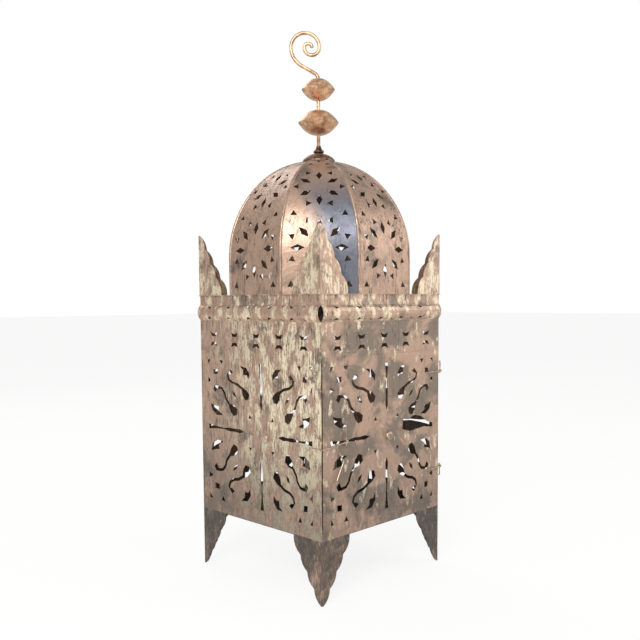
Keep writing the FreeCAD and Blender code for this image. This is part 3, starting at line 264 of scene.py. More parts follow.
def worn_sheet(name, seed, copper, gilt, grime, foot_darkening=0.0, metal=0.72, tint=None, glow=None):
    """Hammered and smoke-stained copper sheet.

    copper and gilt are shares of bare and rubbed metal, grime is the share of dark speckle, and
    foot_darkening darkens the foot of the box. tint is the stretch of X over which a painted blue grey
    reflection lies, and glow an axis with the stretch over which the sheet grows paler, a painted highlight.
    """
    c = settings().colours
    s = Shader(name)
    place = (seed * 1.7, seed * 0.9, seed * 2.3)
    broad = s.noise(13.0, 5.0, 0.62, place, warp=0.5)
    cloud = s.noise(46.0, 9.0, 0.72, place, stretch=(1.2, 1.2, 0.6))
    grain = s.noise(260.0, 6.0, 0.8, place)
    lines = s.noise(1.0, 5.0, 0.75, place, stretch=(520, 520, 34))
    base = s.mix(s.span(broad, 0.60 - copper * 0.3, 0.74 - copper * 0.3), c.umber, c.copper)
    pale = s.maths("ADD", s.span(cloud, 0.66 - gilt * 0.3, 0.80 - gilt * 0.26),
                   s.span(grain, 0.50, 0.72, -0.25, 0.35))
    # painted highlight: along the glow axis the pale share runs from a quarter to above its full share, so
    # one end of the sheet is lighter
    if glow:
        axis, low, high = glow
        pale = s.maths("MULTIPLY", pale, s.span(s.axis(axis), low, high, 0.25, 1.35))
    base = s.mix(s.span(pale, 0.05, 0.95), base, c.gilt)
    # painted reflection: a blue grey patch over a stretch of X, fading out towards the top of the dome
    if tint:
        low, high = tint
        across = s.span(s.axis("X"), low, high)
        patch = s.maths("MULTIPLY", across, s.span(s.axis("Z"), 0.84, 0.74))
        base = s.mix(s.maths("MULTIPLY", patch, s.span(broad, 0.25, 0.5, 0.3, 0.9)), base, c.painted_reflection)
    patches = s.noise(26.0, 9.0, 0.85, (seed, seed * 3.1, 4), stretch=(1.4, 1.4, 0.6), warp=0.3)
    scored = s.maths("MULTIPLY", s.span(lines, 0.48, 0.58),
                     s.span(patches, 0.60 - grime * 0.3, 0.72 - grime * 0.26))
    spots = s.maths("MULTIPLY", s.span(grain, 0.52, 0.66), s.span(patches, 0.36, 0.56, 0.15, 0.9))
    dark = s.maths("MAXIMUM", scored, s.maths("MULTIPLY", spots, 0.35 + 0.4 * grime))
    # darker towards the bottom of the box, mottled by the cloud noise
    if foot_darkening > 0:
        foot = s.span(s.axis("Z"), 0.13, 0.40, foot_darkening, 0.0)
        smoke = s.maths("MULTIPLY", foot, s.span(cloud, 0.36, 0.54, 0.25, 1.0))
        dark = s.maths("MAXIMUM", dark, smoke)
    base = s.mix(s.maths("MULTIPLY", dark, 0.8), base, c.slate)
    s.set(Base_Color=base, Metallic=metal,
          Roughness=s.maths("ADD", s.span(cloud, 0.3, 0.7, 0.32, 0.5), s.maths("MULTIPLY", dark, 0.25)))
    s.bump((broad, 0.005, 0.4), (cloud, 0.0014, 0.4), (grain, 0.0004, 0.45), (lines, 0.0003, 0.3))
    return s.material


def plain_metal(name, dull, bright, metal, rough, seed, scale=60.0):
    """A small piece in two hex colours, the bright one on its worn high spots."""
    s = Shader(name)
    wear = s.noise(scale, 6.0, 0.65, (seed, 0, seed))
    pits = s.noise(scale * 9, 3.0, 0.6, (0, seed, seed))
    base = s.mix(s.span(wear, 0.38, 0.62), srgb(dull), srgb(bright))
    s.set(Base_Color=base, Metallic=metal, Roughness=s.span(wear, 0.3, 0.7, rough - 0.08, rough + 0.12))
    s.bump((wear, 0.0006, 0.3), (pits, 0.0002, 0.3))
    return s.material


def candle_wax():
    s = Shader("pillar_wax")
    cloud = s.noise(30.0, 4.0, 0.5)
    base = s.mix(s.span(cloud, 0.3, 0.7, 0.0, 0.35), settings().colours.wax, srgb("#d8c39a"))
    s.set(Base_Color=base, Roughness=0.48, IOR=1.44, Subsurface_Weight=0.25)
    s.surface.inputs["Subsurface Radius"].default_value = (0.02, 0.012, 0.006)
    s.bump((cloud, 0.0008, 0.2))
    return s.material


RECIPES = {
    # painted highlight: the left wall grows paler towards its front corner, on top of its rubbed pale patches
    "left_wall": (worn_sheet, dict(name="rubbed_brass_with_painted_highlight", seed=2.1, copper=0.8, gilt=0.86, grime=0.74,
                                   foot_darkening=0.8, metal=0.58, glow=("Y", 0.20, -0.14))),
    "door": (worn_sheet, dict(name="smoked_copper_sheet", seed=5.3, copper=0.6, gilt=0.5, grime=0.36,
                              foot_darkening=0.5, metal=0.58)),
    "plain_wall": (worn_sheet, dict(name="aged_copper_sheet", seed=8.7, copper=0.6, gilt=0.5, grime=0.6,
                                    foot_darkening=0.65)),
    "cornice": (worn_sheet, dict(name="rubbed_copper_roll", seed=3.9, copper=0.8, gilt=0.74, grime=0.5)),
    "dome": (worn_sheet, dict(name="domed_copper_sheet", seed=6.4, copper=0.85, gilt=0.34, grime=0.55,
                              metal=0.76)),
    # painted reflection: a blue grey band on the right half of the gore that faces the camera
    "painted_reflection_gore": (worn_sheet, dict(name="copper_with_painted_reflection", seed=1.2, copper=0.75, gilt=0.22, grime=0.42,
                                metal=0.8, tint=(-0.145, -0.105))),
    "horn": (worn_sheet, dict(name="horn_copper_sheet", seed=4.6, copper=0.9, gilt=0.85, grime=0.55,
                              metal=0.7)),
    "foot": (worn_sheet, dict(name="sooty_foot_sheet", seed=7.5, copper=0.3, gilt=0.45, grime=0.95,
                              foot_darkening=0.85, metal=0.55)),
    "finial": (plain_metal, dict(name="golden_copper", dull="#a98066", bright="#e6bd97", metal=0.8,
                                 rough=0.36, seed=3.0, scale=70.0)),
    "cap": (plain_metal, dict(name="browned_copper", dull="#4e4038", bright="#96745a", metal=0.85,
                              rough=0.42, seed=6.0, scale=50.0)),
    "wire": (plain_metal, dict(name="pale_wire", dull="#8d7c68", bright="#d0bb9f", metal=0.75,
                               rough=0.4, seed=2.0, scale=120.0)),
    "post": (plain_metal, dict(name="dark_angle_iron", dull="#2c2a28", bright="#57504a", metal=0.7,
                               rough=0.55, seed=5.0)),
    "wax": (candle_wax, {}),
    "wick": (plain_metal, dict(name="charred_cotton", dull="#1c1a18", bright="#4a443c", metal=0.0,
                               rough=0.9, seed=9.0, scale=300.0)),
}
FINISHES = {}


def finish(name):
    """Each finish is made once, when a piece first asks for it."""
    if name not in FINISHES:
        maker, values = RECIPES[name]
        FINISHES[name] = maker(**values)
    return FINISHES[name]


# ---------------------------------------------------------------- mesh helpers

def piece_from(name, mesh_data, body, finish_name, replaced=(), sharp=35):
    """A finished piece: smooth but for its creases, riding on its body, standing for its CAD nodes."""
    obj = bpy.data.objects.new(name, mesh_data)
    bpy.context.scene.collection.objects.link(obj)
    for polygon in mesh_data.polygons:
        polygon.use_smooth = True
    mesh_data.set_sharp_from_angle(angle=math.radians(sharp))
    if finish_name:
        mesh_data.materials.clear()
        mesh_data.materials.append(finish(finish_name))
    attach(obj, body)
    if replaced:
        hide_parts(*replaced)
    return obj


def mesh_of(name, points, faces):
    """A mesh in metres from millimetre points, its faces turned outwards."""
    data = bpy.data.meshes.new(name)
    data.from_pydata([tuple(p * MM for p in point) for point in points], [], faces)
    work = bmesh.new()
    work.from_mesh(data)
    bmesh.ops.remove_doubles(work, verts=work.verts, dist=1e-6)
    bmesh.ops.recalc_face_normals(work, faces=work.faces)
    work.to_mesh(data)
    work.free()
    return data


def turned_mesh(name, profile, closed, sides=None, place=None):
    """Turned work about Z from (radius, height) points; a closed profile is a ring's section."""
    sides = sides or settings().turned_sides
    points, faces = [], []
    for i in range(sides):
        angle = 2 * math.pi * i / sides
        points += [(r * math.cos(angle), r * math.sin(angle), z) for r, z in profile]
    count = len(profile)
    for i in range(sides):
        a, b = i * count, (i + 1) % sides * count
        for k in range(count if closed else count - 1):
            j = (k + 1) % count
            faces.append((a + k, b + k, b + j, a + j))
    if place:
        points = [tuple(place @ Vector(point)) for point in points]
    return mesh_of(name, points, faces)


def tube_mesh(name, path, radius, sides=20):
    """A round wire along a path in the plane y = 0, with domed ends."""
    points, faces = [], []
    stations = []
    for i, point in enumerate(path):
        before, after = path[max(i - 1, 0)], path[min(i + 1, len(path) - 1)]
        stations.append((point, (after - before).normalized(), radius))
    first, last = stations[0], stations[-1]
    caps = ((0.0, 0.05), (0.5, 0.6), (0.85, 0.9))
    start = [(first[0] - first[1] * radius * (1 - a) * 0.4, first[1], radius * r) for a, r in caps]
    end = [(last[0] + last[1] * radius * (1 - a) * 0.4, last[1], radius * r) for a, r in reversed(caps)]
    for centre, heading, reach in start + stations + end:
        side = Vector((0, 1, 0))
        other = heading.cross(side)
        for k in range(sides):
            angle = 2 * math.pi * k / sides
            points.append(tuple(centre + side * reach * math.cos(angle) + other * reach * math.sin(angle)))
    rows = len(points) // sides
    for i in range(rows - 1):
        for k in range(sides):
            j = (k + 1) % sides
            faces.append((i * sides + k, i * sides + j, (i + 1) * sides + j, (i + 1) * sides + k))
    faces.append(tuple(range(sides)))
    faces.append(tuple(range((rows - 1) * sides, rows * sides)))
    return mesh_of(name, points, faces)


# ---------------------------------------------------------------- the dome

class DomeCurve:
    """An upright foot, then two tangent arcs that close on the axis."""

    def __init__(self):
        d = settings().dome
        self.apothem, self.wall, self.angle = d.apothem, d.wall, d.shoulder
        rise = d.height - d.wall
        share = math.cos(self.angle)
        self.lower = (share * (rise + self.apothem) - self.apothem) / (2 * share - 1)
        self.upper = rise + self.apothem - self.lower
        self.upper_z = self.wall + (self.lower - self.upper) * math.sin(self.angle)
        last = math.acos(d.neck / self.upper)
        self.length = self.wall + self.angle * self.lower + (last - self.angle) * self.upper

    def point(self, run):
        """Radius, height and slope at a length of sheet above the deck."""
        if run < self.wall:
            return self.apothem, run, 0.0
        turned = (run - self.wall) / self.lower
        if turned < self.angle:
            return (self.apothem - self.lower + self.lower * math.cos(turned),
                    self.wall + self.lower * math.sin(turned), turned)
        turned = self.angle + (run - self.wall - self.angle * self.lower) / self.upper
        return self.upper * math.cos(turned), self.upper_z + self.upper * math.sin(turned), turned


def diamond(tall, wide):
    return [(0, tall / 2), (wide / 2, 0), (0, -tall / 2), (-wide / 2, 0)]


def triangle(reach):
    return [(reach * math.sin(math.radians(a)), reach * math.cos(math.radians(a))) for a in (0, 120, 240)]


def spun(points, degrees):
    angle = math.radians(degrees)
    return [(x * math.cos(angle) - z * math.sin(angle), x * math.sin(angle) + z * math.cos(angle))
            for x, z in points]


def star(count, petal_ring, petal, nick_ring, nick, squash=1.0):
    """Petals round a centre with a small triangle between each two."""
    outlines = []
    for k in range(count):
        for shape, ring, turn in ((petal, petal_ring, k), (nick, nick_ring, k + 0.5)):
            x0, z0 = spun([(0, ring)], turn * 360 / count)[0]
            outlines.append([(x + x0 * squash, z + z0) for x, z in spun(shape, turn * 360 / count)])
    return outlines


def gore_holes():
    """The cut-outs of a gore, as (across, length of sheet above the deck)."""
    nick = settings().dome.nick
    small = triangle(nick * 0.62)
    lower = star(count=8, petal_ring=42, petal=diamond(tall=28, wide=13), nick_ring=57, nick=small)
    upper = star(count=6, petal_ring=33, petal=diamond(tall=25, wide=12), nick_ring=47, nick=small,
                 squash=0.93)
    placed = [(shape, 0, LOWER_STAR_LEVEL) for shape in lower]
    placed += [(shape, 0, UPPER_STAR_LEVEL) for shape in upper]
    for sign in (1, -1):
        placed += [(small, sign * 49, SIDE_NICK_LEVEL), (triangle(nick * 0.7), sign * 55, FOOT_NICK_LEVEL),
                   (small, sign * 17, HIGH_NICK_LEVEL)]
    placed.append((diamond(tall=36, wide=8), 0, CROWN_SLIT_LEVEL))
    return [[(x + across, z + up) for x, z in shape] for shape, across, up in placed]


def inside(point, outline):
    x, z = point
    hit = False
    for (x0, z0), (x1, z1) in zip(outline, outline[1:] + outline[:1]):
        if (z0 > z) != (z1 > z) and x < (x1 - x0) * (z - z0) / (z1 - z0) + x0:
            hit = not hit
    return hit


def pierced_sheet(name, outline, holes, bends, place):
    """A flat pierced outline, bent: place turns (across, up, share of the thickness) into a point."""
    corners, edges = [], []
    for ring in [outline] + holes:
        first = len(corners)
        corners += [Vector(point) for point in ring]
        edges += [(first + i, first + (i + 1) % len(ring)) for i in range(len(ring))]
    for (x0, z0), (x1, z1) in bends:
        edges.append((len(corners), len(corners) + 1))
        corners += [Vector((x0, z0)), Vector((x1, z1))]
    flat, _, triangles, _, _, _ = delaunay_2d_cdt(corners, edges, [], 0, 1e-5)
    kept = []
    for corner in triangles:
        middle = sum((flat[i] for i in corner), Vector((0, 0))) / len(corner)
        if inside(middle, outline) and not any(inside(middle, hole) for hole in holes):
            kept.append(tuple(corner))
    count = len(flat)
    points = [place(p.x, p.y, 0.0) for p in flat] + [place(p.x, p.y, 1.0) for p in flat]
    faces = list(kept)
    used = {}
    for corner in kept:
        faces.append(tuple(i + count for i in reversed(corner)))
        for i, start in enumerate(corner):
            end = corner[(i + 1) % len(corner)]
            used[(start, end)] = True
    for start, end in used:
        if (end, start) not in used:
            faces.append((start, start + count, end + count, end))
    data = mesh_of(name, points, faces)
    work = bmesh.new()
    work.from_mesh(data)
    bmesh.ops.delete(work, geom=[v for v in work.verts if not v.link_faces], context="VERTS")
    work.to_mesh(data)
    work.free()
    return data


def gore_mesh(name):
    """One gore facing -Y, bent in narrow steps."""
    curve = DomeCurve()
    gauge = settings().dome.gauge
    steps = 64
    runs = [curve.wall * k / 3 for k in range(3)]
    runs += [curve.wall + (curve.length - curve.wall) * k / steps for k in range(steps + 1)]
    half = math.tan(HALF_GORE)
    right = [(curve.point(run)[0] * half, run) for run in runs]
    outline = right + [(-x, run) for x, run in reversed(right)]
    bends = [((-x, run), (x, run)) for x, run in right[1:-1]]

    def place(across, run, depth):
        radius, height, slope = curve.point(run)
        deep = radius - gauge * depth * math.cos(slope)
        return across * deep / radius, -deep, height - gauge * depth * math.sin(slope) + DECK / MM

    return pierced_sheet(name, outline, gore_holes(), bends, place)


def strap_mesh(name):
    """The strap over the seam at half a gore round from -Y, its underside on the ridge."""
    curve = DomeCurve()
    d = settings().dome
    half, rise, slope_in = d.strap / 2, d.rise, math.tan(HALF_GORE)
    foot, edge = -half * slope_in, 0.5
    section = [(-half, foot), (-half, foot + edge), (-half * 0.5, rise * 0.72), (0, rise),
               (half * 0.5, rise * 0.72), (half, foot + edge), (half, foot), (0, 0)]
    end = curve.length
    while curve.point(end)[0] < STRAP_END * math.cos(HALF_GORE):
        end -= 0.5
    steps = 70
    points, faces = [], []
    for k in range(steps + 1):
        run = end * k / steps
        radius, height, slope = curve.point(run)
        for across, out in section:
            reach = radius / math.cos(HALF_GORE) + out * math.cos(slope)
            points.append((across, -reach, height + out * math.sin(slope) + DECK / MM))
    count = len(section)
    for k in range(steps):
        for i in range(count):
            j = (i + 1) % count
            faces.append((k * count + i, k * count + j, (k + 1) * count + j, (k + 1) * count + i))
    faces.append(tuple(range(count)))
    faces.append(tuple(range(steps * count, (steps + 1) * count)))
    data = mesh_of(name, points, faces)
    data.transform(Matrix.Rotation(HALF_GORE, 4, "Z"))
    return data


def ring_tree(name, copies, material):
    """Copies of the incoming shape, turned evenly about Z."""
    tree = bpy.data.node_groups.new(name, "GeometryNodeTree")
    tree.interface.new_socket("Geometry", in_out="INPUT", socket_type="NodeSocketGeometry")
    count = tree.interface.new_socket("Copies", in_out="INPUT", socket_type="NodeSocketInt")
    tree.interface.new_socket("Geometry", in_out="OUTPUT", socket_type="NodeSocketGeometry")
    count.default_value = copies
    make = tree.nodes.new
    enter, leave = make("NodeGroupInput"), make("NodeGroupOutput")
    line, index = make("GeometryNodeMeshLine"), make("GeometryNodeInputIndex")
    share, step = make("ShaderNodeMath"), make("ShaderNodeMath")
    turn, spread = make("ShaderNodeCombineXYZ"), make("GeometryNodeInstanceOnPoints")
    real, paint = make("GeometryNodeRealizeInstances"), make("GeometryNodeSetMaterial")
    line.inputs["Offset"].default_value = (0, 0, 0)
    share.operation, step.operation = "DIVIDE", "MULTIPLY"
    share.inputs[0].default_value = 2 * math.pi
    paint.inputs["Material"].default_value = material
    for start, end in (
            (enter.outputs["Copies"], line.inputs["Count"]), (enter.outputs["Copies"], share.inputs[1]),
            (index.outputs[0], step.inputs[0]), (share.outputs[0], step.inputs[1]),
            (step.outputs[0], turn.inputs["Z"]), (line.outputs["Mesh"], spread.inputs["Points"]),
            (enter.outputs["Geometry"], spread.inputs["Instance"]),
            (turn.outputs["Vector"], spread.inputs["Rotation"]),
            (spread.outputs["Instances"], real.inputs["Geometry"]),
            (real.outputs["Geometry"], paint.inputs["Geometry"]),
            (paint.outputs["Geometry"], leave.inputs["Geometry"])):
        tree.links.new(start, end)
    return tree, count.identifier


def repeated(data, copies, material):
    """The shape repeated about Z by Geometry Nodes, as one plain mesh."""
    carrier = bpy.data.objects.new("carrier", data)
    bpy.context.scene.collection.objects.link(carrier)
    modifier = carrier.modifiers.new("ring", "NODES")
    tree, socket = ring_tree("copies_about_axis", copies, material)
    modifier.node_group = tree
    modifier[socket] = copies
    bpy.context.view_layer.update()
    evaluated = carrier.evaluated_get(bpy.context.evaluated_depsgraph_get())
    result = bpy.data.meshes.new_from_object(evaluated)
    carrier.modifiers.clear()
    bpy.data.objects.remove(carrier)
    return result


# ---------------------------------------------------------------- operators

class LANTERN_OT_gores(bpy.types.Operator):
    """Make the eight pierced gores of the dome"""
    bl_idname = "lantern.gores"
    bl_label = "Dome gores"

    def execute(self, context):
        for number in range(GORES):
            data = gore_mesh(f"gore_sheet_{number + 1}")
            data.transform(Matrix.Rotation(number * 2 * HALF_GORE, 4, "Z"))
            kind = "painted_reflection_gore" if number == PAINTED_REFLECTION_GORE else "dome"
            piece_from(f"gore_{number + 1}", data, "lantern", kind, (f"dome_gore_{number + 1}",), 40)
        return {"FINISHED"}


class LANTERN_OT_straps(bpy.types.Operator):
    """Make the straps over the seams of the dome"""
    bl_idname = "lantern.straps"
    bl_label = "Seam straps"

    def execute(self, context):
        data = repeated(strap_mesh("strap"), GORES, finish("dome"))
        piece_from("seam_straps", data, "lantern", None, ("dome_seam_straps",), 50)
        return {"FINISHED"}


class LANTERN_OT_balls(bpy.types.Operator):
    """Make the two hollow balls of the finial, each of two spun bowls"""
    bl_idname = "lantern.balls"
    bl_label = "Finial balls"

    def execute(self, context):
        f = settings().finial
        for ball in ("lower", "upper"):
            for half in ("top", "bottom"):
                node = f"finial_{ball}_ball_{half}"
                low, high = (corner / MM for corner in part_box(node))
                radius, height = high.x, high.z - low.z
                rim, sign = (low.z, 1) if half == "top" else (high.z, -1)
                shares = [f.bowl_neck / radius + (1 - f.bowl_neck / radius) * (1 - k / 20) for k in range(21)]
                close = 1 - shares[-1] ** BOWL_FULLNESS
                outer = [(radius * share, rim + sign * height * (1 - share ** BOWL_FULLNESS) / close)
                         for share in shares]
                bore = f.wire + BORE_SLACK
                top = rim + sign * height
                inner = [(max(r - f.gauge, bore), rim + (z - rim) * (1 - f.gauge * 1.6 / height))
                         for r, z in reversed(outer)]
                profile = outer + [(bore, top), (bore, inner[0][1])] + inner[1:]
                data = turned_mesh(node + "_spun", profile, True)
                piece_from(f"{ball}_bowl_{half}", data, "lantern", "finial", (node,), 35)
        return {"FINISHED"}


class LANTERN_OT_cap(bpy.types.Operator):
    """Make the cap on the dome and the bead above it"""
    bl_idname = "lantern.cap"
    bl_label = "Cap and collar"

    def execute(self, context):
        bore = settings().finial.wire + BORE_SLACK
        low, high = (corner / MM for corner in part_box("dome_cap"))
        radius, tall = high.x, high.z - low.z
        rim = low.z + 4
        crown = [(radius * math.cos(a) ** 1.15, rim + (high.z - rim) * math.sin(a) ** 1.25)
                 for a in (math.pi / 2 * k / 16 for k in range(15))]
        neck = [(bore * 1.5, high.z), (bore, high.z), (bore, low.z + tall * 0.62)]
        profile = [(radius, low.z)] + crown + neck
        data = turned_mesh("cap_spun", profile, True)
        piece_from("cap", data, "lantern", "cap", ("dome_cap",), 45)
        low, high = (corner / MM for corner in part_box("finial_collar"))
        radius, tall = high.x, high.z - low.z
        bead = [(radius * (0.78 + 0.22 * math.sin(math.pi * k / 8)), low.z + tall * 0.45 * k / 8)
                for k in range(9)]
        cone = [(bore + 1 + (radius * 0.6 - bore) * (1 - k / 6) ** 1.6, low.z + tall * (0.47 + 0.53 * k / 6))
                for k in range(7)]
        profile = bead + cone + [(bore, high.z), (bore, low.z)]
        data = turned_mesh("collar_turned", profile, True)
        piece_from("collar", data, "lantern", "cap", ("finial_collar",), 45)
        return {"FINISHED"}


class LANTERN_OT_scroll(bpy.types.Operator):
    """Make the rod and the scroll of the finial, one bent wire"""
    bl_idname = "lantern.scroll"
    bl_label = "Scroll"

    def execute(self, context):
        f = settings().finial
        dome_top = DECK / MM + settings().dome.height
        low, _ = (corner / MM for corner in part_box("finial_stem"))
        top = SCROLL_ROD_TOP + dome_top
        level = dome_top + f.level
        path = [Vector((0, 0, low.z + 0.5)), Vector((0, 0, (low.z + top) / 2)), Vector((0, 0, top))]

        def arc(x, z, radius, begin, end):
            steps = max(4, round(abs(end - begin) * radius / 1.6))
            for k in range(1, steps + 1):
                angle = begin + (end - begin) * k / steps
                path.append(Vector((x + radius * math.cos(angle), 0, z + radius * math.sin(angle))))

        arc(-f.bend, top, f.bend, 0, f.lean)
        bend = path[-1].copy()
        run = (level - f.entry * math.sin(f.lean) - bend.z) / math.cos(f.lean)
        left = bend.x - run * math.sin(f.lean) - f.entry * (1 - math.cos(f.lean))
        path.append(Vector((left + f.entry * (1 - math.cos(f.lean)), 0, level - f.entry * math.sin(f.lean))))
        arc(left + f.entry, level, f.entry, math.pi + f.lean, math.pi)
        upper = True
        for radius in (f.scroll, f.scroll_inner, f.scroll_eye):
            end_x = path[-1].x
            if upper:
                arc(end_x + radius, level, radius, math.pi, 0)
            else:
                arc(end_x - radius, level, radius, 0, -math.pi)
            upper = not upper
        data = tube_mesh("scroll_wire", path, f.wire)
        data.transform(Matrix.Rotation(SCROLL_TURN, 4, "Z"))
        piece_from("scroll", data, "lantern", "finial", ("finial_stem",), 60)
        return {"FINISHED"}


class LANTERN_OT_bosses(bpy.types.Operator):
    """Make the raised bosses in the middle of the walls and the door"""
    bl_idname = "lantern.bosses"
    bl_label = "Bosses"

    def execute(self, context):
        turns = {"wall_boss_left": -90, "wall_boss_right": 90, "wall_boss_back": 180, "door_boss": 0}
        for node, degrees in turns.items():
            low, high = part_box(node)
            turn = Matrix.Rotation(math.radians(degrees), 4, "Z")
            outward = turn @ Vector((0, -1, 0))
            middle = (low + high) / 2
            size = high - low
            radius = max(size.z, 0.001) / 2 / MM
            rise = abs(size.dot(outward)) / MM
            seat = middle / MM - outward * rise / 2
            profile = [(0.01, rise)]
            profile += [(radius * math.sin(a), rise * math.cos(a) ** 0.8) for a in
                        (math.pi / 2 * k / 14 for k in range(1, 14))]
            profile += [(radius, 0.02), (radius - BOSS_GAUGE, 0.02)]
            profile += [((radius - BOSS_GAUGE) * math.sin(a), (rise - BOSS_GAUGE) * math.cos(a)) for a in
                        (math.pi / 2 * k / 8 for k in range(7, 0, -1))]
            profile.append((0.01, rise - BOSS_GAUGE))
            place = Matrix.Translation(seat) @ turn @ Matrix.Rotation(math.pi / 2, 4, "X")
            data = turned_mesh(node + "_raised", profile, True, 40, place)
            body = "door" if node == "door_boss" else "lantern"
            kind = {"wall_boss_left": "left_wall", "door_boss": "wire"}.get(node, "plain_wall")
            piece_from("raised_" + node, data, body, kind, (node,), 60)
        return {"FINISHED"}


class LANTERN_OT_candle(bpy.types.Operator):
    """Make the pillar candle with its pool, and its bent wick"""
    bl_idname = "lantern.candle"
    bl_label = "Candle"

    def execute(self, context):
        low, high = (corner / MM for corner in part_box("candle"))
        radius, top, foot = high.x - 0.3, high.z - 0.2, low.z
        hole = 4.8
        profile = [(hole, foot), (radius - 1, foot), (radius, foot + 1.2)]
        profile += [(radius - 0.25 * math.sin(k * 1.3), foot + (top - foot) * k / 12) for k in range(1, 12)]
        profile += [(radius, top - 2), (radius - 1.2, top - 0.3), (radius - 3, top)]
        profile += [(radius - 6, top - 1.5), (radius * 0.6, top - 3.2), (radius * 0.3, top - 3.4),
                    (0.6, top - 3)]
        profile += [(0.6, foot + 28), (hole * 0.4, foot + 20)]
        piece_from("pillar", turned_mesh("pillar_cast", profile, True), "candle", "wax", ("candle",), 50)
        low, high = (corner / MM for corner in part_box("candle_wick"))
        tall = high.z - low.z
        path = [Vector((0.5 * (k / 6) ** 2, 0, low.z - 3 + (tall + 2.4) * k / 6)) for k in range(7)]
        wick = tube_mesh("wick_burnt", path, WICK_RADIUS, 10)
        piece_from("wick", wick, "candle", "wick", ("candle_wick",), 60)
        return {"FINISHED"}


class LANTERN_OT_finishes(bpy.types.Operator):
    """Give every sheet and wire of the frame its finish"""
    bl_idname = "lantern.finishes"
    bl_label = "Sheet and wire finishes"

    def execute(self, context):
        kinds = (
            ("side_panel_left", "left_wall"), ("side_panel", "plain_wall"), ("door_panel", "door"),
            ("front_", "door"), ("cornice", "cornice"), ("top_band", "cornice"), ("top_deck", "cornice"),
            ("dome_base_ring", "dome"), ("horn", "horn"), ("foot", "foot"), ("corner_post", "post"),
            ("base_plate", "foot"), ("candle_pan", "post"), ("candle_pricket", "post"),
            ("hinge_staple", "wire"), ("door_hinge", "wire"), ("door_catch", "wire"),
            ("latch", "wire"), ("keeper", "wire"),
            ("dome_gore", "dome"), ("dome_seam", "dome"), ("finial", "finial"), ("dome_cap", "cap"),
            ("wall_boss", "plain_wall"), ("door_boss", "wire"), ("candle_wick", "wick"), ("candle", "wax"))
        for name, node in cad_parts.items():
            kind = next(kind for start, kind in kinds if name.startswith(start))
            for slot in node.material_slots:
                slot.material = finish(kind)
        return {"FINISHED"}


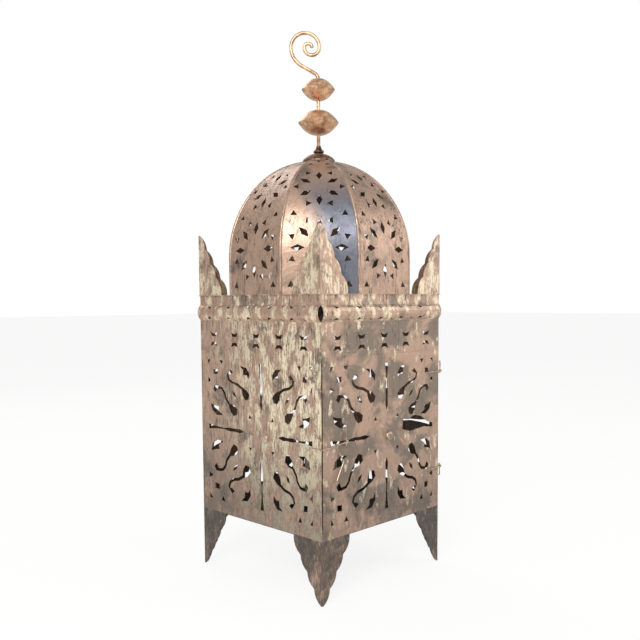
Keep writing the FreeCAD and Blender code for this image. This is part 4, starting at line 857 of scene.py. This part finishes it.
class LANTERN_OT_stage(bpy.types.Operator):
    """Make the floor, the soft lights and the camera"""
    bl_idname = "lantern.stage"
    bl_label = "Stage"

    def execute(self, context):
        scene = context.scene
        scene.view_settings.view_transform = "Standard"
        data = bpy.data.meshes.new("floor")
        corners = [(x * FLOOR_REACH, y * FLOOR_REACH, 0)
                   for x, y in ((-1, -1), (1, -1), (1, 1), (-1, 1))]
        data.from_pydata(corners, [], [(0, 1, 2, 3)])
        floor = bpy.data.objects.new("floor", data)
        scene.collection.objects.link(floor)
        paint = Shader("stage_paint")
        paint.set(Base_Color=settings().colours.floor, Roughness=0.9)
        glow = paint.tree.nodes.new("ShaderNodeEmission")
        blend = paint.tree.nodes.new("ShaderNodeMixShader")
        rays = paint.tree.nodes.new("ShaderNodeLightPath")
        seen = paint.maths("MULTIPLY", rays.outputs["Is Camera Ray"], FLOOR_GLOW)
        paint.link(seen, blend.inputs["Fac"])
        paint.link(paint.surface.outputs["BSDF"], blend.inputs[1])
        paint.link(glow.outputs["Emission"], blend.inputs[2])
        paint.link(blend.outputs["Shader"], paint.tree.nodes["Material Output"].inputs["Surface"])
        data.materials.append(paint.material)
        for light in LIGHTS:
            self.light(scene, *light)
        world = bpy.data.worlds.new("studio")
        scene.world = world
        world.use_nodes = True
        tree = world.node_tree
        rays, pick = tree.nodes.new("ShaderNodeLightPath"), tree.nodes.new("ShaderNodeMapRange")
        tree.links.new(rays.outputs["Is Camera Ray"], pick.inputs["Value"])
        pick.inputs["To Min"].default_value = WORLD_LIGHT
        pick.inputs["To Max"].default_value = WORLD_SEEN
        tree.nodes["Background"].inputs["Color"].default_value = (1, 1, 1, 1)
        tree.links.new(pick.outputs["Result"], tree.nodes["Background"].inputs["Strength"])
        self.camera(scene)
        return {"FINISHED"}

    @staticmethod
    def light(scene, name, place, power, width):
        """A square soft box that faces the middle of the lantern."""
        lamp = bpy.data.lights.new(name, "AREA")
        lamp.energy, lamp.size = power, width
        obj = bpy.data.objects.new(name, lamp)
        scene.collection.objects.link(obj)
        obj.location = place
        obj.rotation_euler = (Vector(LIGHT_AIM) - Vector(place)).to_track_quat("-Z", "Y").to_euler()

    @staticmethod
    def camera(scene):
        """Low and level with the front left corner."""
        turn, tilt, roll = (math.radians(angle) for angle in (CAMERA_TURN, CAMERA_TILT, CAMERA_ROLL))
        back = Vector((math.sin(turn) * math.cos(tilt), -math.cos(turn) * math.cos(tilt), math.sin(tilt)))
        view = bpy.data.cameras.new("camera")
        view.sensor_width, view.lens, view.shift_y = CAMERA_SENSOR, CAMERA_FOCUS, CAMERA_SHIFT
        obj = bpy.data.objects.new("camera", view)
        scene.collection.objects.link(obj)
        facing = (-back).to_track_quat("-Z", "Y").to_matrix().to_4x4()
        place = Matrix.Translation(Vector(CAMERA_AIM) + back * CAMERA_DISTANCE)
        obj.matrix_world = place @ facing @ Matrix.Rotation(roll, 4, "Z")
        scene.camera = obj


class LANTERN_PT_panel(bpy.types.Panel):
    """The lantern's pieces and settings"""
    bl_label = "Lantern"
    bl_space_type = "VIEW_3D"
    bl_region_type = "UI"
    bl_category = "Lantern"

    def draw(self, context):
        for operator in OPERATORS:
            self.layout.operator(operator.bl_idname)
        for group in (settings().dome, settings().finial, settings().colours):
            box = self.layout.box()
            for name in group.__annotations__:
                box.prop(group, name)
        self.layout.prop(settings(), "turned_sides")


OPERATORS = (LANTERN_OT_stage, LANTERN_OT_finishes, LANTERN_OT_gores, LANTERN_OT_straps, LANTERN_OT_cap,
             LANTERN_OT_balls, LANTERN_OT_scroll, LANTERN_OT_bosses, LANTERN_OT_candle)
CLASSES = (LanternDome, LanternFinial, LanternColours, LanternSettings) + OPERATORS + (LANTERN_PT_panel,)


def register():
    for item in CLASSES:
        bpy.utils.register_class(item)
    bpy.types.Scene.lantern = PointerProperty(type=LanternSettings)


def unregister():
    del bpy.types.Scene.lantern
    for item in reversed(CLASSES):
        bpy.utils.unregister_class(item)


def main():
    register()
    for operator in OPERATORS:
        group, name = operator.bl_idname.split(".")
        getattr(getattr(bpy.ops, group), name)()
    bpy.context.view_layer.update()


if __name__ == "__main__":
    main()
